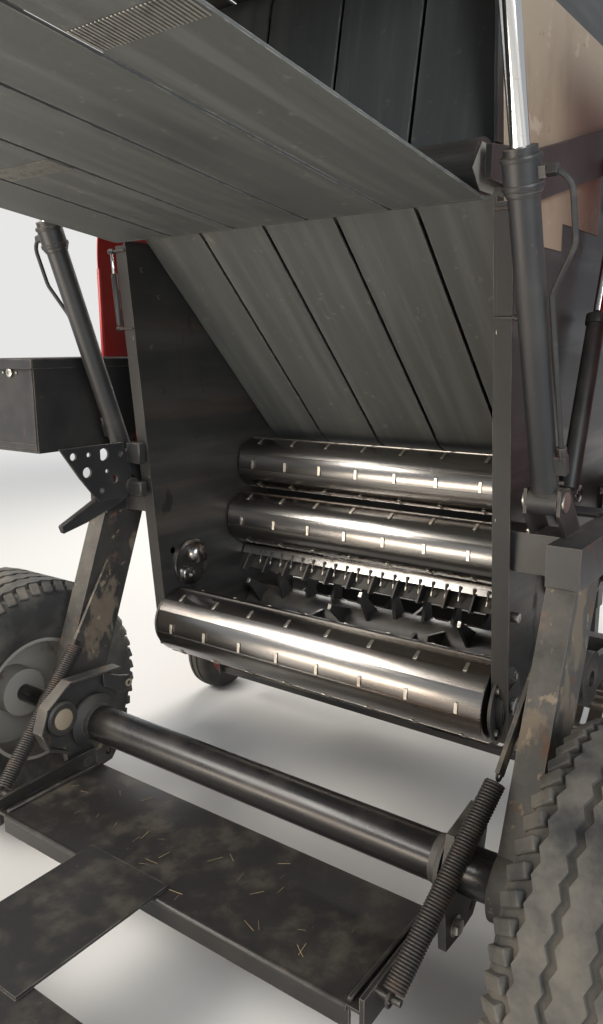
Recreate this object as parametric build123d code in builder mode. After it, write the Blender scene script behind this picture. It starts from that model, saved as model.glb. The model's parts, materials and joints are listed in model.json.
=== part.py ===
"""A towed round baler, parked with its tailgate up. Millimetres.

+X points forward to the hitch, +Y to the left side and +Z up from the ground.
Side views are drawn from the axle line, so X there is the distance ahead of the axle.
"""
import os
from math import asin, atan2, cos, degrees, hypot, pi, radians, sin

from build123d import *

os.makedirs("parts", exist_ok=True)

# Where the axle line stands: the middle of the whole machine is X = 0
axle_x = -503

# Bale chamber: two sheet walls and what turns between them
chamber_half_width = 600
wall_thickness = 8
wall_flange = 38
wall_outer = chamber_half_width + wall_thickness
side_gap = 5
pin_gap = 0.3
stub_radius = 25
bearing_radius = 62
bearing_outer = wall_outer + 30

# Steel rolls of the chamber, in the side view
floor_roll_x = 360
floor_roll_z = 680
floor_roll_radius = 110
starter_roll_x = 720
starter_roll_z = 990
starter_roll_radius = 93
stripper_roll_x = 790
stripper_roll_z = starter_roll_z + 200
stripper_roll_radius = 93
roll_strip_height = 3
roll_strip_width = 40
roll_strip_count = 6
roll_strip_start = -3
rotor_x = 800
rotor_z = 620
rotor_radius = 195

# Belts and the rolls that carry them
belt_count = 5
belt_gap = 12.5
belt_width = (2 * (chamber_half_width - side_gap) - (belt_count - 1) * belt_gap) / belt_count
belt_pitch = belt_width + belt_gap
belt_thickness = 6
front_roll_x = 990
front_roll_z = 1370
front_roll_radius = 104
upper_roll_x = 980
upper_roll_z = 2480
upper_roll_radius = 75
take_up_roll_x = 415
take_up_roll_z = 2500
take_up_roll_radius = 85
follower_radius = 60
rear_follower_x = 156
front_follower_x = 325
follower_z = 1998
arm_pivot_x = 1040
arm_pivot_z = 2190
arm_thickness = 15

# Tailgate: drawn closed, then turned up about its hinge
hinge_x = 100
hinge_z = 2620
gate_opening = 71
hinge_roll_radius = 60
gate_boss_radius = 75
gate_edge_gap = 12
gate_rim = 40
gate_skin = 5
hinge_lug_thickness = 15
hinge_lug_gap = 6
hold_down_radius = 45
hold_down_ahead = 30
gate_low_roll_x = -200
gate_low_roll_z = 720
gate_low_roll_radius = 84
gate_rear_roll_x = -960
gate_rear_roll_z = 1180
gate_rear_roll_radius = 60
gate_top_roll_x = -640
gate_top_roll_z = 2330
gate_top_roll_radius = 60

# Lift cylinders of the tailgate
cylinder_y = wall_outer + 122
cylinder_foot_x = 265
cylinder_foot_z = 1260
cylinder_open_length = 1440
barrel_length = 762
barrel_radius = 32
gland_radius = 38
gland_length = 70
rod_radius = 20
cylinder_pin_radius = 15
cylinder_eye_radius = 34
cylinder_eye_width = 70

# Running gear
axle_z = 420
axle_radius = 57.5
axle_half_length = 850
spindle_radius = 30
track_half_width = 1080
tyre_radius = 420
tyre_width = 390
rim_radius = 216
hub_radius = 85
bracket_y = chamber_half_width + 60
bracket_thickness = 20

# Frame
beam_y = wall_outer + 152
beam_width = 80
beam_low = 1070
beam_height = 100
beam_rear = 200
beam_front = 1400
leg_top_x = 300
leg_top_z = 1110
leg_foot_x = 30
leg_width = 165
leg_thickness = 70
cross_beam_depth = 100

# Drawbar, hitch and jack
drawbar_start_x = 1400
drawbar_start_z = 1080
drawbar_tip_x = 2700
drawbar_tip_z = 500
drawbar_spread = 420
drawbar_width = 100
drawbar_height = 130
hitch_x = 2950
hitch_z = 450
hitch_bore_radius = 26
hitch_ring_radius = 62
hitch_thickness = 40
jack_x = 2150
jack_y = -(chamber_half_width - 280)
jack_tube = 76
jack_leg_tube = 60
jack_wall = 6
jack_foot = 220
jack_foot_thickness = 12
jack_top = 1060

# Pickup
pickup_half_width = 1000
reel_x = 1240
reel_z = 350
reel_bar_circle = 140
reel_bar_radius = 15
reel_tip_radius = 250
reel_bars = 5
tine_count = 26
tine_pitch = 72
tine_thickness = 7
band_inner = 186
band_thickness = 4
band_width = 50
pickup_plate = 6
pickup_arm_y = wall_outer + 97
pickup_arm_thickness = 20
gauge_x = 1190
gauge_y = 1150
gauge_radius = 200
gauge_width = 110
gauge_axle_radius = 14

# Bale ramp behind the axle
ramp_pivot_x = -50
ramp_pivot_z = 300
ramp_half_width = chamber_half_width
ramp_front_x = -20
ramp_step_x = -380
ramp_rear_x = -730
ramp_end_x = -900
ramp_top = 289
ramp_plate = 8
ramp_skirt = 50
ramp_strip_right = -30
ramp_strip_left = 260
ramp_ear_y = ramp_half_width + 25
ramp_overlap = 45

# Covers and boxes
shield_y = chamber_half_width + 400
shield_rear = 420
shield_front = 1330
shield_low = 1000
shield_top = 2350
shield_skin = 4
shield_eave_y = shield_y - 200


def side(y):
    """A side view plane: local X is ahead of the axle, local Y is height; extrudes to -Y."""
    return Plane(origin=(axle_x, y, 0), x_dir=(1, 0, 0), z_dir=(0, -1, 0))


def gate(y):
    """The same view drawn from the hinge on the closed tailgate, which stands turned up."""
    turn = radians(gate_opening)
    return Plane(origin=(axle_x + hinge_x, y, hinge_z), x_dir=(cos(turn), 0, -sin(turn)), z_dir=(0, -1, 0))


def level(z):
    """A plan view plane at height z, with local X ahead of the axle and local Y to the left."""
    return Plane(origin=(axle_x, 0, z), x_dir=(1, 0, 0), z_dir=(0, 0, 1))


def across(x):
    """A plane across the machine at x ahead of the axle: local X to the left, local Y up."""
    return Plane(origin=(axle_x + x, 0, 0), x_dir=(0, 1, 0), z_dir=(1, 0, 0))


def shut(x, z):
    """A point of the closed tailgate, as local coordinates of the gate plane."""
    return (x - hinge_x, z - hinge_z)


def opened(x, z):
    """Where a point of the closed tailgate is when the tailgate is up."""
    turn = radians(gate_opening)
    dx, dz = shut(x, z)
    return (hinge_x + dx * cos(turn) + dz * sin(turn), hinge_z - dx * sin(turn) + dz * cos(turn))


def run_points(rolls):
    """Tangent points of a belt over rolls given as (x, z, radius, sense).

    Sense is 1 where the roll lies to the left of the belt's travel and -1 where it lies to the right.
    Each run gives its direction in radians and its start and end point.
    """
    runs = []
    for (x1, z1, r1, s1), (x2, z2, r2, s2) in zip(rolls, rolls[1:]):
        slope = atan2(z2 - z1, x2 - x1) - asin((s2 * r2 - s1 * r1) / hypot(x2 - x1, z2 - z1))
        normal = (-sin(slope), cos(slope))
        start = (x1 - s1 * r1 * normal[0], z1 - s1 * r1 * normal[1])
        end = (x2 - s2 * r2 * normal[0], z2 - s2 * r2 * normal[1])
        runs.append((slope, start, end))
    return runs


def belt_side(rolls, shift):
    """One face line of a belt, shifted to the left of its travel, as (kind, points) pieces."""
    shifted = [(x, z, r - s * shift, s) for x, z, r, s in rolls]
    runs = run_points(shifted)
    pieces = []
    for index, (slope, start, end) in enumerate(runs):
        pieces.append(("line", start, end))
        if index + 1 < len(runs):
            x, z, radius, sense = shifted[index + 1]
            next_slope, next_start, _ = runs[index + 1]
            turn = next_slope - slope
            while sense * turn < 0:
                turn += sense * 2 * pi
            middle = slope + turn / 2
            crown = (x + sense * radius * sin(middle), z - sense * radius * cos(middle))
            pieces.append(("arc", end, crown, next_start))
    return pieces


def band_lines(rolls, thickness, start_gap=0, first_run=True, last_run=True):
    """Draw the side view of a belt or chain over the rolls; an end run can be left out."""
    ends = []
    for shift in (thickness / 2, -thickness / 2):
        pieces = belt_side(rolls, shift)
        if not first_run:
            pieces = pieces[1:]
        if not last_run:
            pieces = pieces[:-1]
        if start_gap:
            kind, start, end = pieces[0]
            part = start_gap / hypot(end[0] - start[0], end[1] - start[1])
            moved = (start[0] + part * (end[0] - start[0]), start[1] + part * (end[1] - start[1]))
            pieces[0] = (kind, moved, end)
        for kind, *points in pieces:
            if kind == "line":
                Line(*points)
            else:
                ThreePointArc(*points)
        ends.append((pieces[0][1], pieces[-1][-1]))
    Line(ends[0][0], ends[1][0])
    Line(ends[0][1], ends[1][1])


def belt_positions():
    """The middle of each belt across the machine."""
    return [(index - (belt_count - 1) / 2) * belt_pitch for index in range(belt_count)]


def cylinder_plane(sign, along):
    """A plane square to a lift cylinder, at a distance along it from its foot pin."""
    x, z = cylinder_foot_x + along * lift_line[0], cylinder_foot_z + along * lift_line[1]
    return Plane(origin=(axle_x + x, sign * cylinder_y, z), x_dir=(0, 1, 0), z_dir=(lift_line[0], 0, lift_line[1]))


# The lift cylinder's direction and its rod's eye with the tailgate up
lift_lean = 109.1
lift_line = (cos(radians(lift_lean)), sin(radians(lift_lean)))
lift_eye_open = (
    cylinder_foot_x + cylinder_open_length * lift_line[0], cylinder_foot_z + cylinder_open_length * lift_line[1],
)

# The hold-down roll bends the belts up to the raised tailgate beside the hinge roll
half_belt = belt_thickness / 2
hold_down_stub = 15
top_roll = (*opened(gate_top_roll_x, gate_top_roll_z), gate_top_roll_radius + half_belt, 1)
rise, rise_start, _ = run_points([(hinge_x, hinge_z, hinge_roll_radius + half_belt, 1), top_roll])[0]
hold_down = (
    rise_start[0] + hold_down_ahead * cos(rise) + (hold_down_radius + half_belt) * sin(rise),
    rise_start[1] + hold_down_ahead * sin(rise) - (hold_down_radius + half_belt) * cos(rise),
)

# Side walls of the chamber, with their rear flanges, bearing rings and hinge lugs
wall_rear_line = [(312, 590), (190, 1998), (150, 2520)]
wall_outline = wall_rear_line + [
    (215, 2660), (320, 2720), (960, 2640), (1130, 2500), (1235, 1300), (1190, 1010), (1045, 800), (1030, 520),
    (900, 400), (700, 400), (600, 520),
]
turning_rolls = [
    # name, x, z, radius
    ("floor_roll", floor_roll_x, floor_roll_z, floor_roll_radius),
    ("starter_roll", starter_roll_x, starter_roll_z, starter_roll_radius),
    ("stripper_roll", stripper_roll_x, stripper_roll_z, stripper_roll_radius),
]
inner_cover = (430, 872)
inner_cover_radius = 76
inner_cover_thickness = 4
stub_seats = [(x, z) for _, x, z, _ in turning_rolls] + [(rotor_x, rotor_z)]
for name, sign in (("left", 1), ("right", -1)):
    with BuildPart() as wall:
        with BuildSketch(side(sign * chamber_half_width)):
            with BuildLine():
                Polyline(*wall_outline, close=True)
            make_face()
            with Locations(*stub_seats):
                Circle(stub_radius + pin_gap, mode=Mode.SUBTRACT)
            with Locations(((rear_follower_x + front_follower_x) / 2, follower_z)):
                Rectangle(front_follower_x - rear_follower_x + 4 * stub_radius, 110, mode=Mode.SUBTRACT)
        extrude(amount=-sign * wall_thickness)
        with BuildSketch(side(sign * wall_outer)):
            with BuildLine():
                Polyline((312, 590), (196, 1930), (196 + wall_thickness, 1930), (312 + wall_thickness, 590), close=True)
            make_face()
        extrude(amount=-sign * wall_flange)
        with BuildSketch(side(sign * wall_outer)):
            with Locations(*stub_seats):
                Circle(bearing_radius)
                Circle(stub_radius + pin_gap, mode=Mode.SUBTRACT)
        extrude(amount=-sign * (bearing_outer - wall_outer))
        with BuildSketch(side(sign * wall_outer)):
            with Locations((rotor_x, rotor_z)):
                Circle(bearing_radius)
                Circle(stub_radius + pin_gap, mode=Mode.SUBTRACT)
        extrude(amount=-sign * (pickup_arm_y + pickup_arm_thickness / 2 - wall_outer))
        with BuildSketch(side(sign * chamber_half_width)):
            with Locations(inner_cover):
                Circle(inner_cover_radius)
        extrude(amount=sign * inner_cover_thickness)
        with BuildSketch(side(sign * (chamber_half_width - inner_cover_thickness))):
            with Locations(inner_cover):
                Circle(inner_cover_radius * 0.35)
        extrude(amount=sign * inner_cover_thickness)
        with BuildSketch(side(sign * wall_outer)):
            with Locations((300, 2590)):
                Rectangle(140, 150)
        extrude(amount=-sign * hinge_lug_gap)
        with BuildSketch(side(sign * (wall_outer + hinge_lug_gap))):
            with BuildLine():
                Polyline(
                    (100, 2560), (100, 2680), (hold_down[0] - 30, hold_down[1] + 30), (hold_down[0] + 40, hold_down[1] + 30),
                    (370, 2700), (370, 2500), (220, 2480), close=True,
                )
            make_face()
            with Locations((hinge_x, hinge_z)):
                Circle(60)
                Circle(stub_radius, mode=Mode.SUBTRACT)
            with Locations(hold_down):
                Circle(hold_down_stub, mode=Mode.SUBTRACT)
        extrude(amount=-sign * hinge_lug_thickness)
    wall.part.label = f"{name}_wall"
    export_step(wall.part, f"parts/{name}_wall.step")

# Turning steel rolls
roll_half_length = chamber_half_width - side_gap
for name, x, z, radius in turning_rolls:
    with BuildPart() as roll:
        with BuildSketch(side(0)):
            with Locations((x, z)):
                Circle(radius)
                with PolarLocations(radius, roll_strip_count, start_angle=roll_strip_start):
                    Rectangle(2 * roll_strip_height, roll_strip_width)
        extrude(amount=roll_half_length, both=True)
        with BuildSketch(side(0)):
            with Locations((x, z)):
                Circle(stub_radius)
        extrude(amount=bearing_outer + 10, both=True)
    roll.part.label = name
    export_step(roll.part, f"parts/{name}.step")

# Feed rotor: a tube with stars of teeth
rotor_star_count = 12
rotor_star_pitch = 2 * chamber_half_width / 12.5
rotor_star_thickness = 12
with BuildPart() as feed_rotor:
    with BuildSketch(side(0)):
        with Locations((rotor_x, rotor_z)):
            Circle(80)
    extrude(amount=roll_half_length, both=True)
    with BuildSketch(side(0)):
        with Locations((rotor_x, rotor_z)):
            Circle(stub_radius)
    extrude(amount=bearing_outer + 10, both=True)
    for index in range(rotor_star_count):
        y = (index - (rotor_star_count - 1) / 2) * rotor_star_pitch
        with BuildSketch(side(y + rotor_star_thickness / 2)):
            with Locations((rotor_x, rotor_z)):
                with PolarLocations(0, 4, start_angle=20 * index):
                    Polygon((60, -40), (rotor_radius, 8), (rotor_radius - 6, 24), (60, 30), align=None)
        extrude(amount=rotor_star_thickness)
feed_rotor.part.label = "feed_rotor"
export_step(feed_rotor.part, "parts/feed_rotor.step")

# Scraper bar with teeth under the starter roll, and the curved feed floor
scraper_x = 755
scraper_z = 868
scraper_teeth = 24
scraper_pitch = 2 * chamber_half_width / 25
with BuildPart() as scraper_bar:
    with BuildSketch(side(0)):
        with Locations((scraper_x, scraper_z)):
            Rectangle(60, 12, rotation=12)
    extrude(amount=chamber_half_width, both=True)
    for index in range(scraper_teeth):
        y = (index - (scraper_teeth - 1) / 2) * scraper_pitch
        with BuildSketch(side(y + 4)):
            with Locations((scraper_x - 30, scraper_z - 14)):
                Rectangle(26, 22)
        extrude(amount=8)
scraper_bar.part.label = "scraper_bar"
export_step(scraper_bar.part, "parts/scraper_bar.step")

feed_floor_inner = rotor_radius + 14
with BuildPart() as feed_floor:
    with BuildSketch(side(0)):
        with BuildLine():
            CenterArc((rotor_x, rotor_z), feed_floor_inner, 195, 110)
            CenterArc((rotor_x, rotor_z), feed_floor_inner + 6, 195, 110)
            Line(
                (rotor_x + feed_floor_inner * cos(radians(195)), rotor_z + feed_floor_inner * sin(radians(195))),
                (rotor_x + (feed_floor_inner + 6) * cos(radians(195)), rotor_z + (feed_floor_inner + 6) * sin(radians(195))),
            )
            Line(
                (rotor_x + feed_floor_inner * cos(radians(305)), rotor_z + feed_floor_inner * sin(radians(305))),
                (rotor_x + (feed_floor_inner + 6) * cos(radians(305)), rotor_z + (feed_floor_inner + 6) * sin(radians(305))),
            )
        make_face()
    extrude(amount=chamber_half_width, both=True)
feed_floor.part.label = "feed_floor"
export_step(feed_floor.part, "parts/feed_floor.step")

# Rolls that carry the belts on the front half, fixed here because the belts can't travel
arm_gap = 7
with BuildPart() as belt_rolls:
    with BuildSketch(side(0)):
        with Locations((front_roll_x, front_roll_z)):
            Circle(front_roll_radius)
        with Locations((upper_roll_x, upper_roll_z)):
            Circle(upper_roll_radius)
        with Locations((take_up_roll_x, take_up_roll_z)):
            Circle(take_up_roll_radius)
    extrude(amount=chamber_half_width, both=True)
    with BuildSketch(side(0)):
        with Locations((hinge_x, hinge_z)):
            Circle(hinge_roll_radius)
        with Locations(hold_down):
            Circle(hold_down_radius)
        with Locations((rear_follower_x, follower_z), (front_follower_x, follower_z)):
            Circle(follower_radius)
    extrude(amount=roll_half_length, both=True)
    with BuildSketch(side(0)):
        with Locations((hinge_x, hinge_z)):
            Circle(stub_radius)
        with Locations(hold_down):
            Circle(hold_down_stub)
    extrude(amount=wall_outer + hinge_lug_gap + hinge_lug_thickness + 8, both=True)
    with BuildSketch(side(0)):
        with Locations((rear_follower_x, follower_z), (front_follower_x, follower_z)):
            Circle(stub_radius)
    extrude(amount=wall_outer + arm_gap, both=True)
belt_rolls.part.label = "belt_rolls"
export_step(belt_rolls.part, "parts/belt_rolls.step")

# Tension arms that carry the followers, outside the walls
with BuildPart() as tension_arms:
    for sign in (1, -1):
        with BuildSketch(side(sign * (wall_outer + arm_gap))):
            with BuildLine():
                Polyline(
                    (rear_follower_x - 45, follower_z - 35), (rear_follower_x - 45, follower_z + 35),
                    (front_follower_x + 30, follower_z + 65), (arm_pivot_x, arm_pivot_z + 60),
                    (arm_pivot_x, arm_pivot_z - 60), (front_follower_x + 60, follower_z - 45), close=True,
                )
            make_face()
            with Locations((arm_pivot_x, arm_pivot_z)):
                Circle(60)
        extrude(amount=-sign * arm_thickness)
        with BuildSketch(side(sign * wall_outer)):
            with Locations((arm_pivot_x, arm_pivot_z)):
                Circle(45)
        extrude(amount=-sign * (arm_gap + arm_thickness + 12))
tension_arms.part.label = "tension_arms"
export_step(tension_arms.part, "parts/tension_arms.step")

# Belts: one endless path, cut at the rear follower and at the hold-down roll
belt_cut = 6
low_roll = (*opened(gate_low_roll_x, gate_low_roll_z), gate_low_roll_radius + half_belt, 1)
rear_roll = (*opened(gate_rear_roll_x, gate_rear_roll_z), gate_rear_roll_radius + half_belt, 1)
hold_down_wrap = (*hold_down, hold_down_radius + half_belt, -1)
rear_follower = (rear_follower_x, follower_z, follower_radius + half_belt, 1)
take_up = (take_up_roll_x, take_up_roll_z, take_up_roll_radius + half_belt, -1)
front_follower = (front_follower_x, follower_z, follower_radius + half_belt, 1)
front_low = (front_roll_x, front_roll_z, front_roll_radius + half_belt, 1)
front_high = (upper_roll_x, upper_roll_z, upper_roll_radius + half_belt, 1)

front_path = [low_roll, rear_follower, take_up, front_follower, front_low, front_high, hold_down_wrap, top_roll]
with BuildPart() as front_belts:
    for y in belt_positions():
        with BuildSketch(side(y)):
            with BuildLine():
                band_lines(front_path, belt_thickness, first_run=False, last_run=False)
            make_face()
        extrude(amount=belt_width / 2, both=True)
front_belts.part.label = "front_belts"
export_step(front_belts.part, "parts/front_belts.step")

gate_path = [hold_down_wrap, top_roll, rear_roll, low_roll, rear_follower]
with BuildPart() as gate_belts:
    for y in belt_positions():
        with BuildSketch(side(y)):
            with BuildLine():
                band_lines(gate_path, belt_thickness, start_gap=belt_cut, last_run=False)
            make_face()
        extrude(amount=belt_width / 2, both=True)
gate_belts.part.label = "gate_belts"
export_step(gate_belts.part, "parts/gate_belts.step")

with BuildPart() as hanging_belts:
    for y in belt_positions():
        with BuildSketch(side(y)):
            with BuildLine():
                band_lines([low_roll, rear_follower], belt_thickness)
            make_face()
        extrude(amount=belt_width / 2, both=True)
hanging_belts.part.label = "hanging_belts"
export_step(hanging_belts.part, "parts/hanging_belts.step")

# Tailgate walls, drawn closed in the gate plane
gate_front_edge = [
    (wall_rear_line[0][0] - gate_edge_gap, wall_rear_line[0][1] + 10),
    (wall_rear_line[1][0] - gate_edge_gap, wall_rear_line[1][1]),
    (wall_rear_line[2][0] - gate_edge_gap, wall_rear_line[2][1]),
]
gate_top_front = (100, 2682)
gate_top_rear = (-200, 2676)
gate_upper_bend = (-905, 2235)
gate_rear_most = (-1165, 1480)
gate_lower_bend = (-1065, 1010)
gate_low_rear = (-790, 700)
gate_low_front = (-260, 590)
gate_rib_width = 50
gate_rib_depth = 25
gate_ribs = [
    ((-75, 2330), (-640, 800)),
    ((-190, 2440), (-1060, 1440)),
    ((-330, 2480), (-980, 1980)),
]
for name, sign in (("left", 1), ("right", -1)):
    with BuildPart() as gate_wall:
        with BuildSketch(gate(sign * chamber_half_width)) as wall_view:
            with BuildLine():
                Polyline(*[shut(*point) for point in gate_front_edge], shut(*gate_top_front), shut(*gate_top_rear))
                ThreePointArc(shut(*gate_top_rear), shut(*gate_upper_bend), shut(*gate_rear_most))
                ThreePointArc(shut(*gate_rear_most), shut(*gate_lower_bend), shut(*gate_low_rear))
                Polyline(shut(*gate_low_rear), shut(*gate_low_front), shut(*gate_front_edge[0]))
            make_face()
            Circle(gate_boss_radius)
            Circle(stub_radius + pin_gap, mode=Mode.SUBTRACT)
            with Locations(shut(rear_follower_x, follower_z)):
                Rectangle(90, 120, mode=Mode.SUBTRACT)
        extrude(amount=-sign * wall_thickness)
        with BuildSketch(gate(sign * wall_outer)):
            with BuildLine():
                Polyline(shut(*gate_top_front), shut(*gate_top_rear))
                ThreePointArc(shut(*gate_top_rear), shut(*gate_upper_bend), shut(*gate_rear_most))
                ThreePointArc(shut(*gate_rear_most), shut(*gate_lower_bend), shut(*gate_low_rear))
                Line(shut(*gate_low_rear), shut(*gate_low_front))
                Line(shut(*gate_low_front), (shut(*gate_low_front)[0], shut(*gate_low_front)[1] + wall_thickness))
                Polyline(
                    (shut(*gate_low_front)[0], shut(*gate_low_front)[1] + wall_thickness),
                    (shut(*gate_low_rear)[0] + 4, shut(*gate_low_rear)[1] + wall_thickness),
                )
                ThreePointArc(
                    (shut(*gate_low_rear)[0] + 4, shut(*gate_low_rear)[1] + wall_thickness),
                    (shut(*gate_lower_bend)[0] + 7, shut(*gate_lower_bend)[1] + 4),
                    (shut(*gate_rear_most)[0] + wall_thickness, shut(*gate_rear_most)[1]),
                )
                ThreePointArc(
                    (shut(*gate_rear_most)[0] + wall_thickness, shut(*gate_rear_most)[1]),
                    (shut(*gate_upper_bend)[0] + 6, shut(*gate_upper_bend)[1] - 6),
                    (shut(*gate_top_rear)[0], shut(*gate_top_rear)[1] - wall_thickness),
                )
                Line(
                    (shut(*gate_top_rear)[0], shut(*gate_top_rear)[1] - wall_thickness),
                    (shut(*gate_top_front)[0], shut(*gate_top_front)[1] - wall_thickness),
                )
                Line((shut(*gate_top_front)[0], shut(*gate_top_front)[1] - wall_thickness), shut(*gate_top_front))
            make_face()
            Circle(150, mode=Mode.SUBTRACT)
        extrude(amount=-sign * gate_rim)
        for (x1, z1), (x2, z2) in gate_ribs:
            with BuildSketch(gate(sign * wall_outer)):
                middle = shut((x1 + x2) / 2, (z1 + z2) / 2)
                with Locations(Location(middle, degrees(atan2(z2 - z1, x2 - x1)))):
                    Rectangle(hypot(x2 - x1, z2 - z1), gate_rib_width)
            extrude(amount=-sign * gate_rib_depth)
        with BuildSketch(side(sign * wall_outer)):
            with Locations(lift_eye_open):
                Circle(cylinder_eye_radius + 16)
        extrude(amount=-sign * (cylinder_y - cylinder_eye_width / 2 - side_gap - 1 - wall_outer))
    gate_wall.part.label = f"gate_{name}_wall"
    export_step(gate_wall.part, f"parts/gate_{name}_wall.step")

# What joins the tailgate's walls: cross tubes and the rear skin
gate_tubes = [(-20, 2560), (-1080, 1700), (-620, 760)]
with BuildPart() as gate_frame:
    with BuildSketch(gate(0)):
        with Locations(*[shut(*point) for point in gate_tubes]):
            Circle(38)
    extrude(amount=chamber_half_width, both=True)
gate_frame.part.label = "gate_frame"
export_step(gate_frame.part, "parts/gate_frame.step")

skin_top = (-640, 2470)
skin_middle = (-1010, 2090)
skin_end = (-1150, 1560)
with BuildPart() as gate_skin_panel:
    with BuildSketch(gate(0)):
        with BuildLine():
            ThreePointArc(shut(*skin_top), shut(*skin_middle), shut(*skin_end))
            Line(shut(*skin_end), shut(skin_end[0] + gate_skin, skin_end[1]))
            ThreePointArc(
                shut(skin_end[0] + gate_skin, skin_end[1]),
                shut(skin_middle[0] + gate_skin * 0.8, skin_middle[1] - gate_skin * 0.6),
                shut(skin_top[0] + gate_skin * 0.3, skin_top[1] - gate_skin),
            )
            Line(shut(skin_top[0] + gate_skin * 0.3, skin_top[1] - gate_skin), shut(*skin_top))
        make_face()
    extrude(amount=chamber_half_width, both=True)
gate_skin_panel.part.label = "gate_skin"
export_step(gate_skin_panel.part, "parts/gate_skin.step")

lamp_place = (-1010, 900)
lamp_width = 110
lamp_depth = 50
lamp_height = 190
with BuildPart() as rear_lamps:
    for sign in (1, -1):
        with BuildSketch(gate(sign * (wall_outer + gate_rim))):
            with Locations(Location(shut(*lamp_place), 57)):
                Rectangle(lamp_depth, lamp_height)
        extrude(amount=-sign * lamp_width)
rear_lamps.part.label = "rear_lamps"
export_step(rear_lamps.part, "parts/rear_lamps.step")

with BuildPart() as gate_rolls:
    with BuildSketch(gate(0)):
        with Locations(shut(gate_low_roll_x, gate_low_roll_z)):
            Circle(gate_low_roll_radius)
        with Locations(shut(gate_rear_roll_x, gate_rear_roll_z)):
            Circle(gate_rear_roll_radius)
        with Locations(shut(gate_top_roll_x, gate_top_roll_z)):
            Circle(gate_top_roll_radius)
    extrude(amount=chamber_half_width, both=True)
gate_rolls.part.label = "gate_rolls"
export_step(gate_rolls.part, "parts/gate_rolls.step")

# Lift cylinders, each with its hose from the port at the foot up to the gland
barrel_bore = rod_radius + 6
port_radius = 11
hose_radius = 6
hose_bend = 45
hose_stand_off = barrel_radius + hose_radius + 6
port_low = 120
port_length = 45
port_high = barrel_length - gland_length / 2
hose_route = [
    (port_high, gland_radius + 12), (port_high, gland_radius + 60), (port_high - 140, gland_radius + 60),
    (port_high - 240, hose_stand_off), (port_low, hose_stand_off),
]


def hose_plane(sign):
    """Local X runs along a lift cylinder from its foot pin, and local Y away from the machine."""
    return Plane(
        origin=(axle_x + cylinder_foot_x, sign * cylinder_y, cylinder_foot_z),
        x_dir=(lift_line[0], 0, lift_line[1]), z_dir=(-sign * lift_line[1], 0, sign * lift_line[0]),
    )


for name, sign in (("left", 1), ("right", -1)):
    with BuildPart() as barrel:
        with BuildSketch(side(sign * cylinder_y)):
            with Locations((cylinder_foot_x, cylinder_foot_z)):
                Circle(cylinder_eye_radius)
        extrude(amount=cylinder_eye_width / 2, both=True)
        with BuildSketch(cylinder_plane(sign, cylinder_eye_radius - 6)):
            Circle(barrel_radius)
        extrude(amount=barrel_length - gland_length - cylinder_eye_radius + 6)
        with BuildSketch(cylinder_plane(sign, barrel_length - gland_length)):
            Circle(gland_radius)
        extrude(amount=gland_length)
        with BuildSketch(cylinder_plane(sign, port_low - port_length)):
            with Locations((sign * hose_stand_off / 2, 0)):
                Rectangle(hose_stand_off + 2 * port_radius, 2 * port_radius)
        extrude(amount=port_length)
        with BuildSketch(cylinder_plane(sign, port_high - port_radius)):
            with Locations((sign * (gland_radius + 12) / 2, 0)):
                Rectangle(gland_radius + 12, 2 * port_radius)
        extrude(amount=2 * port_radius)
        with BuildSketch(cylinder_plane(sign, cylinder_eye_radius + 30)):
            Circle(barrel_bore)
        extrude(amount=barrel_length - gland_length - cylinder_eye_radius - 30, mode=Mode.SUBTRACT)
        with BuildSketch(cylinder_plane(sign, barrel_length - gland_length)):
            Circle(rod_radius + pin_gap)
        extrude(amount=gland_length, mode=Mode.SUBTRACT)
        with BuildSketch(side(sign * cylinder_y)):
            with Locations((cylinder_foot_x, cylinder_foot_z)):
                Circle(cylinder_pin_radius + pin_gap)
        extrude(amount=cylinder_eye_width / 2, both=True, mode=Mode.SUBTRACT)
    barrel.part.label = f"lift_barrel_{name}"
    export_step(barrel.part, f"parts/lift_barrel_{name}.step")

    with BuildPart() as rod:
        with BuildSketch(side(sign * cylinder_y)):
            with Locations(lift_eye_open):
                Circle(cylinder_eye_radius)
                Circle(cylinder_pin_radius + pin_gap, mode=Mode.SUBTRACT)
        extrude(amount=cylinder_eye_width / 2, both=True)
        with BuildSketch(cylinder_plane(sign, barrel_length - gland_length - 60)):
            Circle(rod_radius)
        extrude(amount=cylinder_open_length - barrel_length + gland_length + 60 - cylinder_eye_radius + 3)
    rod.part.label = f"lift_rod_{name}"
    export_step(rod.part, f"parts/lift_rod_{name}.step")

    with BuildPart() as hose:
        with BuildLine(hose_plane(sign)) as route:
            FilletPolyline(*hose_route, radius=hose_bend)
        with BuildSketch(Plane(origin=route.line @ 0, z_dir=route.line % 0)):
            Circle(hose_radius)
        sweep(path=route.line)
    hose.part.label = f"lift_hose_{name}"
    export_step(hose.part, f"parts/lift_hose_{name}.step")

# Axle with its brackets, and the legs that stand on it
with BuildPart() as axle:
    with BuildSketch(side(0)):
        with Locations((0, axle_z)):
            Circle(axle_radius)
    extrude(amount=axle_half_length, both=True)
    with BuildSketch(side(0)):
        with Locations((0, axle_z)):
            Circle(spindle_radius)
    extrude(amount=track_half_width + 70, both=True)
axle.part.label = "axle"
export_step(axle.part, "parts/axle.step")

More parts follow.
